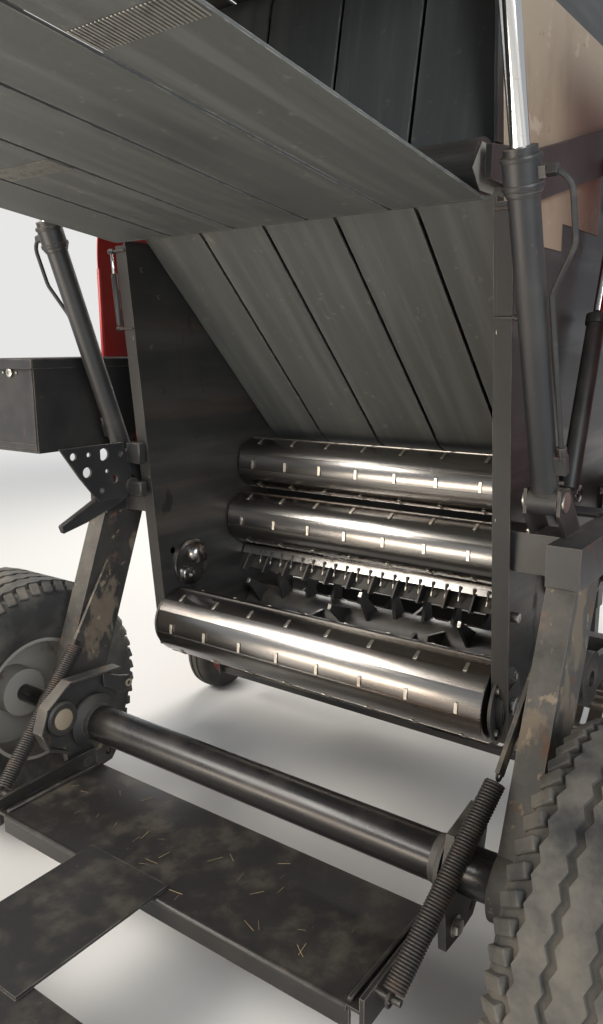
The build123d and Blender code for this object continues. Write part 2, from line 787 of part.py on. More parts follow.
with BuildPart() as axle_brackets:
    for sign in (1, -1):
        with BuildSketch(side(sign * bracket_y)):
            with BuildLine():
                Polyline(
                    (ramp_pivot_x - 45, ramp_pivot_z - 40), (ramp_pivot_x + 40, ramp_pivot_z - 45),
                    (95, 370), (120, 480), (60, 560), (-70, 540), (-110, 400), close=True,
                )
            make_face()
            with Locations((0, axle_z)):
                Circle(axle_radius, mode=Mode.SUBTRACT)
        extrude(amount=-sign * bracket_thickness)
        with BuildSketch(side(sign * bracket_y)):
            with Locations((ramp_pivot_x, ramp_pivot_z)):
                Circle(cylinder_pin_radius)
        extrude(amount=sign * (bracket_y - ramp_ear_y + 3))
axle_brackets.part.label = "axle_brackets"
export_step(axle_brackets.part, "parts/axle_brackets.step")

leg_slope = atan2(leg_top_z - axle_z, leg_top_x - leg_foot_x)
leg_length = hypot(leg_top_x - leg_foot_x, leg_top_z - axle_z)
with BuildPart() as frame_legs:
    for sign in (1, -1):
        with BuildSketch(side(sign * (beam_y + beam_width / 2))):
            with Locations(Location(((leg_top_x + leg_foot_x) / 2, (leg_top_z + axle_z) / 2), degrees(leg_slope))):
                Rectangle(leg_length, leg_width)
            with Locations((0, axle_z)):
                Circle(axle_radius + 30)
            with Locations((leg_top_x, beam_low + 200)):
                Rectangle(500, 400, mode=Mode.SUBTRACT)
            with Locations((0, axle_z)):
                Circle(axle_radius, mode=Mode.SUBTRACT)
        extrude(amount=leg_thickness / 2, both=True)
frame_legs.part.label = "frame_legs"
export_step(frame_legs.part, "parts/frame_legs.step")

# Side beams with outriggers to the walls, the cross beam and the cylinders' feet
post_x = 1380
post_y = shield_y - 60
post_width = 40
post_top = 2100
shield_pin_x = 1346
shield_pin_y = shield_y - 16
shield_pin_radius = 8
shield_hinges = (1250, 1950)
hinge_pin_length = 70
tie_plate = 12
foot_plate = 8
foot_inner_y = cylinder_y - cylinder_eye_width / 2 - 1
foot_outer_y = cylinder_y + cylinder_eye_width / 2 + 1
with BuildPart() as side_beams:
    for sign in (1, -1):
        with BuildSketch(level(beam_low)):
            with Locations(((beam_rear + beam_front) / 2, sign * (beam_y + beam_width / 2))):
                Rectangle(beam_front - beam_rear, beam_width)
        extrude(amount=beam_height)
        with BuildSketch(level(beam_low)):
            with Locations((345, sign * (wall_outer + beam_y) / 2)):
                Rectangle(110, beam_y - wall_outer)
        extrude(amount=beam_height)
        with BuildSketch(side(sign * wall_outer)):
            with BuildLine():
                Polyline(
                    (1130, beam_low + 10), (1130, beam_low + 90), (beam_front - cross_beam_depth, beam_low + beam_height),
                    (beam_front - cross_beam_depth, beam_low), close=True,
                )
            make_face()
        extrude(amount=-sign * tie_plate)
        for y in (foot_inner_y - foot_plate, foot_outer_y):
            with BuildSketch(side(sign * y)):
                with BuildLine():
                    Polyline(
                        (290, beam_low + beam_height), (400, beam_low + beam_height),
                        (cylinder_foot_x + 30, cylinder_foot_z + 30), (cylinder_foot_x - 30, cylinder_foot_z + 30),
                        (cylinder_foot_x - 30, cylinder_foot_z - 30), close=True,
                    )
                make_face()
            extrude(amount=-sign * foot_plate)
        with BuildSketch(side(sign * (foot_inner_y - foot_plate))):
            with Locations((cylinder_foot_x, cylinder_foot_z)):
                Circle(cylinder_pin_radius)
        extrude(amount=-sign * (foot_outer_y - foot_inner_y + 2 * foot_plate))
        with BuildSketch(level(beam_low)):
            with Locations((post_x, sign * (beam_y + beam_width + post_y) / 2)):
                Rectangle(post_width, post_y - beam_y - beam_width + post_width)
        extrude(amount=beam_height)
        with BuildSketch(level(beam_low)):
            with Locations((post_x, sign * post_y)):
                Rectangle(post_width, post_width)
        extrude(amount=post_top - beam_low)
        for z in shield_hinges:
            with BuildSketch(level(z)):
                with Locations((shield_pin_x, sign * shield_pin_y)):
                    Circle(shield_pin_radius)
            extrude(amount=hinge_pin_length)
            with BuildSketch(level(z - 10)):
                with Locations(((shield_pin_x + post_x) / 2, sign * (shield_pin_y + post_y) / 2)):
                    Rectangle(post_x - shield_pin_x + 24, shield_pin_y - post_y + 24)
            extrude(amount=10)
    with BuildSketch(level(beam_low)):
        with Locations((beam_front - cross_beam_depth / 2, 0)):
            Rectangle(cross_beam_depth, 2 * beam_y)
    extrude(amount=beam_height)
side_beams.part.label = "side_beams"
export_step(side_beams.part, "parts/side_beams.step")

# Drawbar: two arms from the cross beam to the tip, with the tongue and the hitch ring
drawbar_drop = atan2(drawbar_start_z - drawbar_tip_z, drawbar_tip_x - drawbar_start_x)
drawbar_run = hypot(drawbar_start_z - drawbar_tip_z, drawbar_tip_x - drawbar_start_x)
drawbar_plane = Plane(
    origin=(axle_x + drawbar_start_x, 0, drawbar_start_z),
    x_dir=(cos(drawbar_drop), 0, -sin(drawbar_drop)), z_dir=(sin(drawbar_drop), 0, cos(drawbar_drop)),
)
with BuildPart() as drawbar:
    with BuildSketch(drawbar_plane):
        for sign in (1, -1):
            with BuildLine():
                Polyline(
                    (60, sign * (drawbar_spread + drawbar_width / 2)), (60, sign * (drawbar_spread - drawbar_width / 2)),
                    (drawbar_run - 150, 0), (drawbar_run, 0), (drawbar_run, sign * 60), close=True,
                )
            make_face()
    extrude(amount=drawbar_height / 2, both=True)
    with BuildSketch(level(hitch_z - hitch_thickness / 2)):
        with Locations(((drawbar_tip_x - 90 + hitch_x) / 2, 0)):
            Rectangle(hitch_x - drawbar_tip_x + 90, 90)
        with Locations((hitch_x, 0)):
            Circle(hitch_ring_radius)
            Circle(hitch_bore_radius, mode=Mode.SUBTRACT)
    extrude(amount=hitch_thickness)
    for sign in (1, -1):
        with BuildSketch(side(sign * (drawbar_spread - drawbar_width / 2))):
            with BuildLine():
                Polyline(
                    (beam_front, beam_low), (beam_front, beam_low + beam_height), (beam_front + 100, 1100),
                    (beam_front + 100, 980), close=True,
                )
            make_face()
        extrude(amount=-sign * drawbar_width)
    with BuildSketch(level(700)):
        with Locations((jack_x, jack_y + jack_tube / 2 + 55)):
            Rectangle(110, 110)
    extrude(amount=80)
drawbar.part.label = "drawbar"
export_step(drawbar.part, "parts/drawbar.step")

# Parking jack
with BuildPart() as jack_sleeve:
    with BuildSketch(level(420)):
        with Locations((jack_x, jack_y)):
            Rectangle(jack_tube, jack_tube)
            Rectangle(jack_leg_tube + 1, jack_leg_tube + 1, mode=Mode.SUBTRACT)
    extrude(amount=jack_top - 420)
jack_sleeve.part.label = "jack_sleeve"
export_step(jack_sleeve.part, "parts/jack_sleeve.step")

with BuildPart() as jack_leg:
    with BuildSketch(level(0)):
        with Locations((jack_x, jack_y)):
            Rectangle(jack_foot, jack_foot)
    extrude(amount=jack_foot_thickness)
    with BuildSketch(level(jack_foot_thickness)):
        with Locations((jack_x, jack_y)):
            Rectangle(jack_leg_tube, jack_leg_tube)
    extrude(amount=jack_top - 400)
jack_leg.part.label = "jack_leg"
export_step(jack_leg.part, "parts/jack_leg.step")

# Gearbox on the cross beam, with its cross shaft to the left side
gearbox_x = 1364
gearbox_z = beam_low + beam_height
input_z = gearbox_z + 130
cross_shaft_radius = 20
cross_shaft_end = wall_outer + 70
pedestal_y = chamber_half_width - 10
with BuildPart() as gearbox:
    with BuildSketch(level(gearbox_z)):
        with Locations((gearbox_x, 0)):
            Rectangle(230, 280)
    extrude(amount=240)
    with BuildSketch(across(gearbox_x)):
        with Locations((0, input_z)):
            Circle(17.4)
    extrude(amount=220)
    with BuildSketch(side(cross_shaft_end)):
        with Locations((gearbox_x, input_z)):
            Circle(cross_shaft_radius)
    extrude(amount=cross_shaft_end - 140)
    with BuildSketch(side(pedestal_y)):
        with BuildLine():
            Polyline(
                (gearbox_x - 30, gearbox_z), (gearbox_x - 30, input_z + 30), (gearbox_x + 30, input_z + 30),
                (gearbox_x + 30, gearbox_z), close=True,
            )
        make_face()
    extrude(amount=30)
gearbox.part.label = "gearbox"
export_step(gearbox.part, "parts/gearbox.step")

# Wheels
for name, sign in (("left", 1), ("right", -1)):
    with BuildPart() as tyre:
        with BuildSketch(Plane(origin=(axle_x, sign * track_half_width, axle_z), x_dir=(1, 0, 0), z_dir=(0, 0, 1))):
            with BuildLine():
                Polyline(
                    (rim_radius, -tyre_width * 0.38), (tyre_radius * 0.72, -tyre_width / 2),
                    (tyre_radius * 0.86, -tyre_width / 2), (tyre_radius * 0.97, -tyre_width * 0.43),
                    (tyre_radius, -tyre_width * 0.36), (tyre_radius, tyre_width * 0.36),
                    (tyre_radius * 0.97, tyre_width * 0.43), (tyre_radius * 0.86, tyre_width / 2),
                    (tyre_radius * 0.72, tyre_width / 2), (rim_radius, tyre_width * 0.38), close=True,
                )
            make_face()
        revolve(axis=Axis((axle_x, sign * track_half_width, axle_z), (0, 1, 0)))
    tyre.part.label = f"tyre_{name}"
    export_step(tyre.part, f"parts/tyre_{name}.step")

    with BuildPart() as rim:
        with BuildSketch(Plane(origin=(axle_x, sign * track_half_width, axle_z), x_dir=(1, 0, 0), z_dir=(0, 0, 1))):
            with BuildLine():
                Polyline(
                    (spindle_radius + pin_gap, sign * 75), (spindle_radius + pin_gap, sign * -60), (hub_radius, sign * -60),
                    (hub_radius, sign * 20), (rim_radius - 12, sign * 20), (rim_radius - 12, -tyre_width * 0.38 * sign),
                    (rim_radius, -tyre_width * 0.38 * sign), (rim_radius, tyre_width * 0.38 * sign),
                    (rim_radius - 12, tyre_width * 0.38 * sign), (rim_radius - 12, sign * 32), (hub_radius, sign * 32),
                    (hub_radius, sign * 75), close=True,
                )
            make_face()
        revolve(axis=Axis((axle_x, sign * track_half_width, axle_z), (0, 1, 0)))
    rim.part.label = f"rim_{name}"
    export_step(rim.part, f"parts/rim_{name}.step")

# Bale ramp, with a peg on each side for the lower hook of a return spring
spring_low_x = -335
spring_low_y = ramp_ear_y + 47
spring_low_z = 312
spring_peg_radius = 8
spring_radius = 25
spring_wire = 7
ramp_ear = 12
with BuildPart() as ramp:
    with BuildSketch(level(ramp_top - ramp_plate)):
        with Locations(((ramp_front_x + ramp_step_x) / 2, 0)):
            Rectangle(ramp_front_x - ramp_step_x, 2 * ramp_half_width)
        with Locations(((ramp_end_x + ramp_rear_x) / 2, 0)):
            Rectangle(ramp_rear_x - ramp_end_x, 2 * ramp_half_width)
    extrude(amount=ramp_plate)
    with BuildSketch(level(ramp_top)):
        with Locations(((ramp_step_x + ramp_rear_x) / 2, (ramp_strip_left + ramp_strip_right) / 2)):
            Rectangle(ramp_step_x - ramp_rear_x + 2 * ramp_overlap, ramp_strip_left - ramp_strip_right)
    extrude(amount=ramp_plate)
    with BuildSketch(level(ramp_top - ramp_plate - ramp_skirt)):
        with Locations((ramp_step_x + ramp_plate / 2, 0), (ramp_end_x + ramp_plate / 2, 0)):
            Rectangle(ramp_plate, 2 * ramp_half_width)
    extrude(amount=ramp_skirt)
    for sign in (1, -1):
        with BuildSketch(side(sign * ramp_ear_y)):
            with BuildLine():
                Polyline(
                    (ramp_pivot_x + 35, ramp_pivot_z - 35), (ramp_pivot_x + 35, ramp_pivot_z + 35),
                    (ramp_pivot_x - 35, ramp_pivot_z + 35), (ramp_step_x, ramp_top + 31), (ramp_step_x, ramp_top - 50),
                    close=True,
                )
            make_face()
            with Locations((ramp_pivot_x, ramp_pivot_z)):
                Circle(cylinder_pin_radius + pin_gap, mode=Mode.SUBTRACT)
        extrude(amount=-sign * ramp_ear)
        with BuildSketch(level(ramp_top - ramp_plate)):
            with Locations(((ramp_pivot_x - 40 + ramp_step_x) / 2, sign * (ramp_half_width + ramp_ear_y) / 2)):
                Rectangle(ramp_pivot_x - 40 - ramp_step_x, ramp_ear_y - ramp_half_width)
        extrude(amount=ramp_plate)
        with BuildSketch(side(sign * ramp_ear_y)):
            with Locations((spring_low_x, spring_low_z)):
                Circle(spring_peg_radius)
        extrude(amount=-sign * (spring_low_y + spring_radius - ramp_ear_y))
ramp.part.label = "ramp"
export_step(ramp.part, "parts/ramp.step")

# Return springs of the ramp, and the straps that carry their upper hooks
spring_high_x = 31
spring_high_y = beam_y - 22
spring_high_z = 665
strap_top_x = 205
strap_top_y = beam_y - 2
strap_top_z = 900
strap_boss_depth = 14
for name, sign in (("left", 1), ("right", -1)):
    spring_low = Vector(spring_low_x, sign * spring_low_y, spring_low_z)
    spring_high = Vector(spring_high_x, sign * spring_high_y, spring_high_z)
    strap_top = Vector(strap_top_x, sign * strap_top_y, strap_top_z)
    spring_line = (spring_high - spring_low).normalized()
    spring_start = spring_low + spring_line * (spring_peg_radius + 4)
    spring_length = (spring_high - spring_start).length - 4.5
    with BuildPart() as ramp_spring:
        with BuildSketch(Plane(origin=spring_start + Vector(axle_x, 0, 0), z_dir=spring_line)):
            Circle(spring_radius)
            Circle(spring_radius - spring_wire, mode=Mode.SUBTRACT)
        extrude(amount=spring_length)
    ramp_spring.part.label = f"ramp_spring_{name}"
    export_step(ramp_spring.part, f"parts/ramp_spring_{name}.step")

    strap_line = strap_top - spring_high
    with BuildPart() as spring_strap:
        with BuildSketch(Plane(origin=spring_high + Vector(axle_x, 0, 0), x_dir=(0, 1, 0), z_dir=strap_line)):
            Rectangle(10, 40)
        extrude(amount=strap_line.length)
        with BuildSketch(side(sign * (beam_y + beam_width / 2 - leg_thickness / 2))):
            with Locations((strap_top_x, strap_top_z)):
                Circle(14)
        extrude(amount=sign * strap_boss_depth)
    spring_strap.part.label = f"spring_strap_{name}"
    export_step(spring_strap.part, f"parts/spring_strap_{name}.step")

# Pickup: side plates, arms to the rotor axis, bands between the tines
guard_pivot = (1030, 700)
guard_bar = (1320, 800)
guard_y = 960
top_bar_low = 600
band_bar = (1037, 163)
band_bar_size = 26
with BuildPart() as pickup_sides:
    for sign in (1, -1):
        with BuildSketch(side(sign * (pickup_half_width - pickup_plate))):
            with BuildLine():
                Polyline(
                    (1000, 150), (960, 600), (990, 730), (1070, 730), (1180, 650), (1400, 560), (1480, 360),
                    (1380, 170), (1300, 150), close=True,
                )
            make_face()
            with Locations((reel_x, reel_z)):
                Circle(stub_radius + pin_gap, mode=Mode.SUBTRACT)
        extrude(amount=-sign * pickup_plate)
        with BuildSketch(side(sign * pickup_half_width)):
            with BuildLine():
                Polyline((1060, 520), (1060, 580), (gauge_x + 30, gauge_radius), (gauge_x - 30, gauge_radius), close=True)
            make_face()
            with Locations((gauge_x, gauge_radius)):
                Circle(30)
        extrude(amount=-sign * 14)
        with BuildSketch(side(sign * pickup_half_width)):
            with Locations((gauge_x, gauge_radius)):
                Circle(gauge_axle_radius)
        extrude(amount=-sign * (gauge_y + gauge_width / 2 + 12 - pickup_half_width))
        with BuildSketch(side(sign * (pickup_half_width - pickup_plate))):
            with Locations(guard_pivot):
                Circle(12)
        extrude(amount=sign * 50)
pickup_sides.part.label = "pickup_sides"
export_step(pickup_sides.part, "parts/pickup_sides.step")

with BuildPart() as pickup_bars:
    for sign in (1, -1):
        with BuildSketch(side(sign * (pickup_arm_y - pickup_arm_thickness / 2))):
            with BuildLine():
                Polyline((rotor_x, rotor_z - 60), (rotor_x, rotor_z + 60), (1100, top_bar_low + 50), (1100, top_bar_low), close=True)
            make_face()
            with Locations((rotor_x, rotor_z)):
                Circle(85)
                Circle(bearing_radius + pin_gap, mode=Mode.SUBTRACT)
        extrude(amount=-sign * pickup_arm_thickness)
    with BuildSketch(level(top_bar_low)):
        with Locations((1115, 0)):
            Rectangle(50, 2 * (pickup_half_width - pickup_plate))
    extrude(amount=50)
    with BuildSketch(side(0)):
        with Locations(band_bar):
            Rectangle(band_bar_size, band_bar_size)
    extrude(amount=pickup_half_width - pickup_plate, both=True)
pickup_bars.part.label = "pickup_bars"
export_step(pickup_bars.part, "parts/pickup_bars.step")

with BuildPart() as pickup_bands:
    for index in range(tine_count - 1):
        y = (index - (tine_count - 2) / 2) * tine_pitch
        with BuildSketch(side(y)):
            with BuildLine():
                CenterArc((reel_x, reel_z), band_inner, -90, 180)
                CenterArc((reel_x, reel_z), band_inner + band_thickness, -90, 180)
                Polyline(
                    (reel_x, reel_z + band_inner), (1140, top_bar_low + 1), (1140, top_bar_low + 1 + band_thickness),
                    (reel_x, reel_z + band_inner + band_thickness),
                )
                Polyline(
                    (reel_x, reel_z - band_inner), (band_bar[0] + band_bar_size / 2, reel_z - band_inner),
                    (band_bar[0] + band_bar_size / 2, reel_z - band_inner - band_thickness),
                    (reel_x, reel_z - band_inner - band_thickness),
                )
            make_face()
        extrude(amount=band_width / 2, both=True)
pickup_bands.part.label = "pickup_bands"
export_step(pickup_bands.part, "parts/pickup_bands.step")

with BuildPart() as pickup_reel:
    with BuildSketch(side(0)):
        with Locations((reel_x, reel_z)):
            Circle(stub_radius)
            with PolarLocations(reel_bar_circle, reel_bars):
                Circle(reel_bar_radius)
    extrude(amount=pickup_half_width - pickup_plate - side_gap, both=True)
    with BuildSketch(side(0)):
        with Locations((reel_x, reel_z)):
            Circle(stub_radius)
    extrude(amount=pickup_half_width + 6, both=True)
    for index in range(tine_count):
        y = (index - (tine_count - 1) / 2) * tine_pitch
        with BuildSketch(side(y)):
            with Locations((reel_x, reel_z)):
                with PolarLocations(0, reel_bars):
                    Polygon(
                        (reel_bar_circle - 10, 8), (reel_tip_radius - 50, 8), (reel_tip_radius - 2, -20),
                        (reel_tip_radius - 5, -28), (reel_tip_radius - 52, -1), (reel_bar_circle - 10, -1), align=None,
                    )
        extrude(amount=tine_thickness / 2, both=True)
    for sign in (1, 0, -1):
        with BuildSketch(side(sign * (pickup_half_width - pickup_plate - side_gap - 14))):
            with Locations((reel_x, reel_z)):
                Circle(reel_bar_circle + reel_bar_radius + 6)
        extrude(amount=4, both=True)
pickup_reel.part.label = "pickup_reel"
export_step(pickup_reel.part, "parts/pickup_reel.step")

for name, sign in (("left", 1), ("right", -1)):
    with BuildPart() as gauge_wheel:
        with BuildSketch(side(sign * gauge_y)):
            with Locations((gauge_x, gauge_radius)):
                Circle(gauge_radius)
                Circle(gauge_axle_radius + pin_gap, mode=Mode.SUBTRACT)
        extrude(amount=gauge_width / 2, both=True)
    gauge_wheel.part.label = f"gauge_wheel_{name}"
    export_step(gauge_wheel.part, f"parts/gauge_wheel_{name}.step")

# Wind guard over the pickup
finger_count = 14
finger_pitch = 130
with BuildPart() as wind_guard:
    with BuildSketch(side(0)):
        with Locations(guard_bar):
            Circle(20)
    extrude(amount=guard_y, both=True)
    for index in range(finger_count):
        y = (index - (finger_count - 1) / 2) * finger_pitch
        with BuildSketch(side(y)):
            with BuildLine():
                Polyline((1310, 790), (1310, 800), (1150, 715), (1050, 705), (1050, 697), (1152, 706), close=True)
            make_face()
        extrude(amount=4, both=True)
    for sign in (1, -1):
        with BuildSketch(side(sign * guard_y)):
            with BuildLine():
                Polyline(
                    (guard_pivot[0], guard_pivot[1] + 25), (guard_bar[0], guard_bar[1] + 25),
                    (guard_bar[0], guard_bar[1] - 25), (guard_pivot[0], guard_pivot[1] - 25), close=True,
                )
            make_face()
            with Locations(guard_pivot, guard_bar):
                Circle(25)
            with Locations(guard_pivot):
                Circle(12 + pin_gap, mode=Mode.SUBTRACT)
        extrude(amount=-sign * 10)
wind_guard.part.label = "wind_guard"
export_step(wind_guard.part, "parts/wind_guard.step")

# Net wrap box on the front, with its lid
box_rear = 1245
box_front = 1560
box_low = 1700
box_high = 2120
box_skin = 4
lid_gap = 0.5
lid_pin = (box_rear + 8, box_high + 22)
lid_pin_radius = 6
lid_ear = 12
lid_hinge_y = chamber_half_width - 100
with BuildPart() as net_box:
    with BuildSketch(side(0)):
        with Locations(((box_rear + box_front) / 2, (box_low + box_high) / 2)):
            Rectangle(box_front - box_rear, box_high - box_low)
            with Locations((0, box_skin)):
                Rectangle(box_front - box_rear - 2 * box_skin, box_high - box_low, mode=Mode.SUBTRACT)
    extrude(amount=chamber_half_width + 40, both=True)
    for sign in (1, -1):
        with BuildSketch(side(sign * (chamber_half_width + 40))):
            with Locations(((box_rear + box_front) / 2, (box_low + box_high) / 2)):
                Rectangle(box_front - box_rear, box_high - box_low)
        extrude(amount=-sign * box_skin)
        with BuildSketch(side(sign * wall_outer)):
            with BuildLine():
                Polyline((box_rear, 1720), (box_rear, 2100), (1130, 2100), (1150, 1720), close=True)
            make_face()
        extrude(amount=-sign * 6)
        with BuildSketch(side(sign * lid_hinge_y)):
            with Locations((lid_pin[0], (lid_pin[1] + box_high) / 2 - 3)):
                Rectangle(2 * lid_ear, lid_pin[1] - box_high + 6)
            with Locations(lid_pin):
                Circle(lid_ear)
        extrude(amount=-sign * 10)
        with BuildSketch(side(sign * lid_hinge_y)):
            with Locations(lid_pin):
                Circle(lid_pin_radius)
        extrude(amount=sign * 30)
net_box.part.label = "net_box"
export_step(net_box.part, "parts/net_box.step")

with BuildPart() as net_box_lid:
    with BuildSketch(level(box_high + lid_gap)):
        with Locations(((lid_pin[0] + box_front) / 2, 0)):
            Rectangle(box_front - lid_pin[0], 2 * (chamber_half_width + 44))
    extrude(amount=box_skin)
    for sign in (1, -1):
        with BuildSketch(side(sign * (lid_hinge_y - 30))):
            with Locations((lid_pin[0] + lid_ear / 2, (lid_pin[1] + box_high + lid_gap) / 2)):
                Rectangle(lid_ear, lid_pin[1] - box_high - lid_gap)
            with Locations(lid_pin):
                Circle(lid_ear)
                Circle(lid_pin_radius + pin_gap, mode=Mode.SUBTRACT)
        extrude(amount=-sign * 20)
    for sign in (1, -1):
        with BuildSketch(level(box_high)):
            with Locations((lid_pin[0], sign * (lid_hinge_y + 5))):
                Rectangle(2 * lid_ear + 10, 20)
        extrude(amount=50, mode=Mode.SUBTRACT)
net_box_lid.part.label = "net_box_lid"
export_step(net_box_lid.part, "parts/net_box_lid.step")

# Front sheet of the chamber
with BuildPart() as front_sheet:
    with BuildSketch(side(0)):
        with BuildLine():
            Polyline((1235, 1180), (1235, 1300), (1154, 2230), (1159, 2230), (1240, 1300), (1240, 1180), close=True)
        make_face()
    extrude(amount=wall_outer, both=True)
front_sheet.part.label = "front_sheet"
export_step(front_sheet.part, "parts/front_sheet.step")

# Side shields, hinged at the front
for name, sign in (("left", 1), ("right", -1)):
    with BuildPart() as side_shield:
        with BuildSketch(across(shield_rear)):
            with BuildLine():
                Line((sign * shield_y, shield_low), (sign * shield_y, 1900))
                ThreePointArc((sign * shield_y, 1900), (sign * (shield_y - 60), 2170), (sign * shield_eave_y, shield_top))
                Line((sign * shield_eave_y, shield_top), (sign * (shield_eave_y - 2), shield_top - shield_skin))
                ThreePointArc(
                    (sign * (shield_eave_y - 2), shield_top - shield_skin), (sign * (shield_y - 60 - shield_skin), 2167),
                    (sign * (shield_y - shield_skin), 1900),
                )
                Line((sign * (shield_y - shield_skin), 1900), (sign * (shield_y - shield_skin), shield_low))
                Line((sign * (shield_y - shield_skin), shield_low), (sign * shield_y, shield_low))
            make_face()
        extrude(amount=shield_front - shield_rear)
        for z in shield_hinges:
            with BuildSketch(level(z + pin_gap)):
                with Locations((shield_pin_x, sign * shield_pin_y)):
                    Circle(16)
                with Locations((shield_front, sign * (shield_y - shield_skin / 2 - 3))):
                    Rectangle(20, 10)
                with Locations((shield_pin_x, sign * shield_pin_y)):
                    Circle(shield_pin_radius + pin_gap, mode=Mode.SUBTRACT)
            extrude(amount=hinge_pin_length - 10)
    side_shield.part.label = f"side_shield_{name}"
    export_step(side_shield.part, f"parts/side_shield_{name}.step")

# Box on the left side behind the shield
with BuildPart() as side_box:
    with BuildSketch(level(1290)):
        with Locations((195, beam_y + beam_width + 90)):
            Rectangle(410, 220)
    extrude(amount=290)
    with BuildSketch(level(beam_low + beam_height)):
        with Locations((225, beam_y + beam_width - 10), (385, beam_y + beam_width - 10)):
            Rectangle(20, 20)
    extrude(amount=1290 - beam_low - beam_height)
side_box.part.label = "side_box"
export_step(side_box.part, "parts/side_box.step")
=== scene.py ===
# %% [markdown]
# # A towed round baler with its tailgate up
#
# The machine stands on its wheels and its jack, seen from behind the right wheel, so the camera looks
# forward and to the left into the open bale chamber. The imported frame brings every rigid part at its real
# size. This file adds what a frame has no use for: the camera, the light, the finishes, and the pieces
# that are better modelled by hand, such as the belts, the rolls' weld marks and the tyres' tread.

# %% Load the frame
import json
import math
import random

import bpy
from mathutils import Matrix, Vector


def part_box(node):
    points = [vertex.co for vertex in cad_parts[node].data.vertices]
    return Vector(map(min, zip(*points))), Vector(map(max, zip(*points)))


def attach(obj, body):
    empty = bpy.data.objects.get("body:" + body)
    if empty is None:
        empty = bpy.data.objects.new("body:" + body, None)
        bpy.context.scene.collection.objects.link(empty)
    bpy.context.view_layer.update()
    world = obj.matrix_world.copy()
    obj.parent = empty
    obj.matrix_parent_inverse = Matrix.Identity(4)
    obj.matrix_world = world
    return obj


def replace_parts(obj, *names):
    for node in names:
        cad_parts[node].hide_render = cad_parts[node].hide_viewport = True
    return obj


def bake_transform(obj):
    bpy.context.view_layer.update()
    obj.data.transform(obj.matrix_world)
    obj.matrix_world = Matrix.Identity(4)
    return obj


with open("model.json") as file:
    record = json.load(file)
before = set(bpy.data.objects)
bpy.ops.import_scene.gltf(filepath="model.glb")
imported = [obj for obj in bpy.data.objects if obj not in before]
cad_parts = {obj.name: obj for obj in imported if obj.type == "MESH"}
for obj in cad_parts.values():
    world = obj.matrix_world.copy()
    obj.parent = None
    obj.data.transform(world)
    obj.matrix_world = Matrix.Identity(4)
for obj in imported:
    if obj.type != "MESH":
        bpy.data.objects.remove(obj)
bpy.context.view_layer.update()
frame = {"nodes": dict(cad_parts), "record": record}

# %% [markdown]
# ## Where things stand
#
# Every place below is counted from the axle line, as a mechanic would measure it: how far ahead of the
# axle, how far to the left and how high. The axle line itself is read from the left tyre's box. A side view
# of the machine then needs only x and z, and each pair of parts differs in the sign of y.

# %% Places that several pieces share
SIDES = (("left", 1), ("right", -1))
UP, LEFT, AHEAD = Vector((0, 0, 1)), Vector((0, 1, 0)), Vector((1, 0, 0))
tyre_low, tyre_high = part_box("tyre_left")
AXLE_X = (tyre_low.x + tyre_high.x) / 2
AXLE_Z = 0.42
WALL_OUTER = 0.608
ROTOR = (0.8, 0.62)
TURNING_ROLLS = {
    "floor_roll": (0.36, 0.68, 0.11),
    "starter_roll": (0.72, 0.99, 0.093),
    "stripper_roll": (0.79, 1.19, 0.093),
}
print("the axle line stands at x =", round(AXLE_X, 4))


def at(x, y, z):
    """A point given by its distance ahead of the axle, its place to the left and its height."""
    return Vector((AXLE_X + x, y, z))


# %% [markdown]
# ## The camera
#
# The photograph was taken with a short lens from about 1.6 m height. Its place and turn were solved from
# points whose place on the machine is known, such as the belt edges and the rolls' ends. The three axes
# below are the camera's right, up and viewing direction in the machine's frame. Written as the rows of a
# matrix and transposed, they are its turn, which no aiming at a target could give with the same tilt.

# %% Camera
camera_place = at(-1.58, -1.37, 1.62)
camera_right = Vector((0.5907, -0.8069, -0.0074))
camera_up = Vector((0.1664, 0.1129, 0.9796))
camera_look = Vector((0.7896, 0.5799, -0.2010))
camera_data = bpy.data.cameras.new("camera")
camera_data.lens = 28.36
camera_data.sensor_width = 36
camera = bpy.data.objects.new("camera", camera_data)
bpy.context.scene.collection.objects.link(camera)
turn = Matrix((camera_right, camera_up, -camera_look)).transposed()
camera.matrix_world = Matrix.Translation(camera_place) @ turn.to_4x4()
bpy.context.scene.camera = camera
print("camera at", [round(value, 3) for value in camera.matrix_world.translation])

# %% [markdown]
# ## Floor, backdrop and light
#
# The floor is one pale disc that fades into the background with distance, so no horizon line shows from
# any side. Lamps are large and soft. The bright backdrop is there for the camera, while what falls on
# the machine stays at a plain level, so a colour renders about as it is written.

# %% The world
PALE = (0.80, 0.80, 0.79, 1.0)
SKY = (0.86, 0.93, 1.0, 1.0)
SKY_STRENGTH = 0.5
bpy.context.scene.view_settings.view_transform = "Standard"
world = bpy.data.worlds.new("studio")
bpy.context.scene.world = world
world.use_nodes = True
tree = world.node_tree
tree.nodes.clear()
seen = tree.nodes.new("ShaderNodeBackground")
seen.inputs["Color"].default_value = PALE
seen.inputs["Strength"].default_value = 1.0
cast = tree.nodes.new("ShaderNodeBackground")
cast.inputs["Color"].default_value = SKY
cast.inputs["Strength"].default_value = SKY_STRENGTH
path = tree.nodes.new("ShaderNodeLightPath")
either = tree.nodes.new("ShaderNodeMath")
either.operation = "MAXIMUM"
tree.links.new(path.outputs["Is Camera Ray"], either.inputs[0])
tree.links.new(path.outputs["Is Transmission Ray"], either.inputs[1])
blend = tree.nodes.new("ShaderNodeMixShader")
tree.links.new(either.outputs[0], blend.inputs["Fac"])
tree.links.new(cast.outputs[0], blend.inputs[1])
tree.links.new(seen.outputs[0], blend.inputs[2])
out = tree.nodes.new("ShaderNodeOutputWorld")
tree.links.new(blend.outputs[0], out.inputs["Surface"])
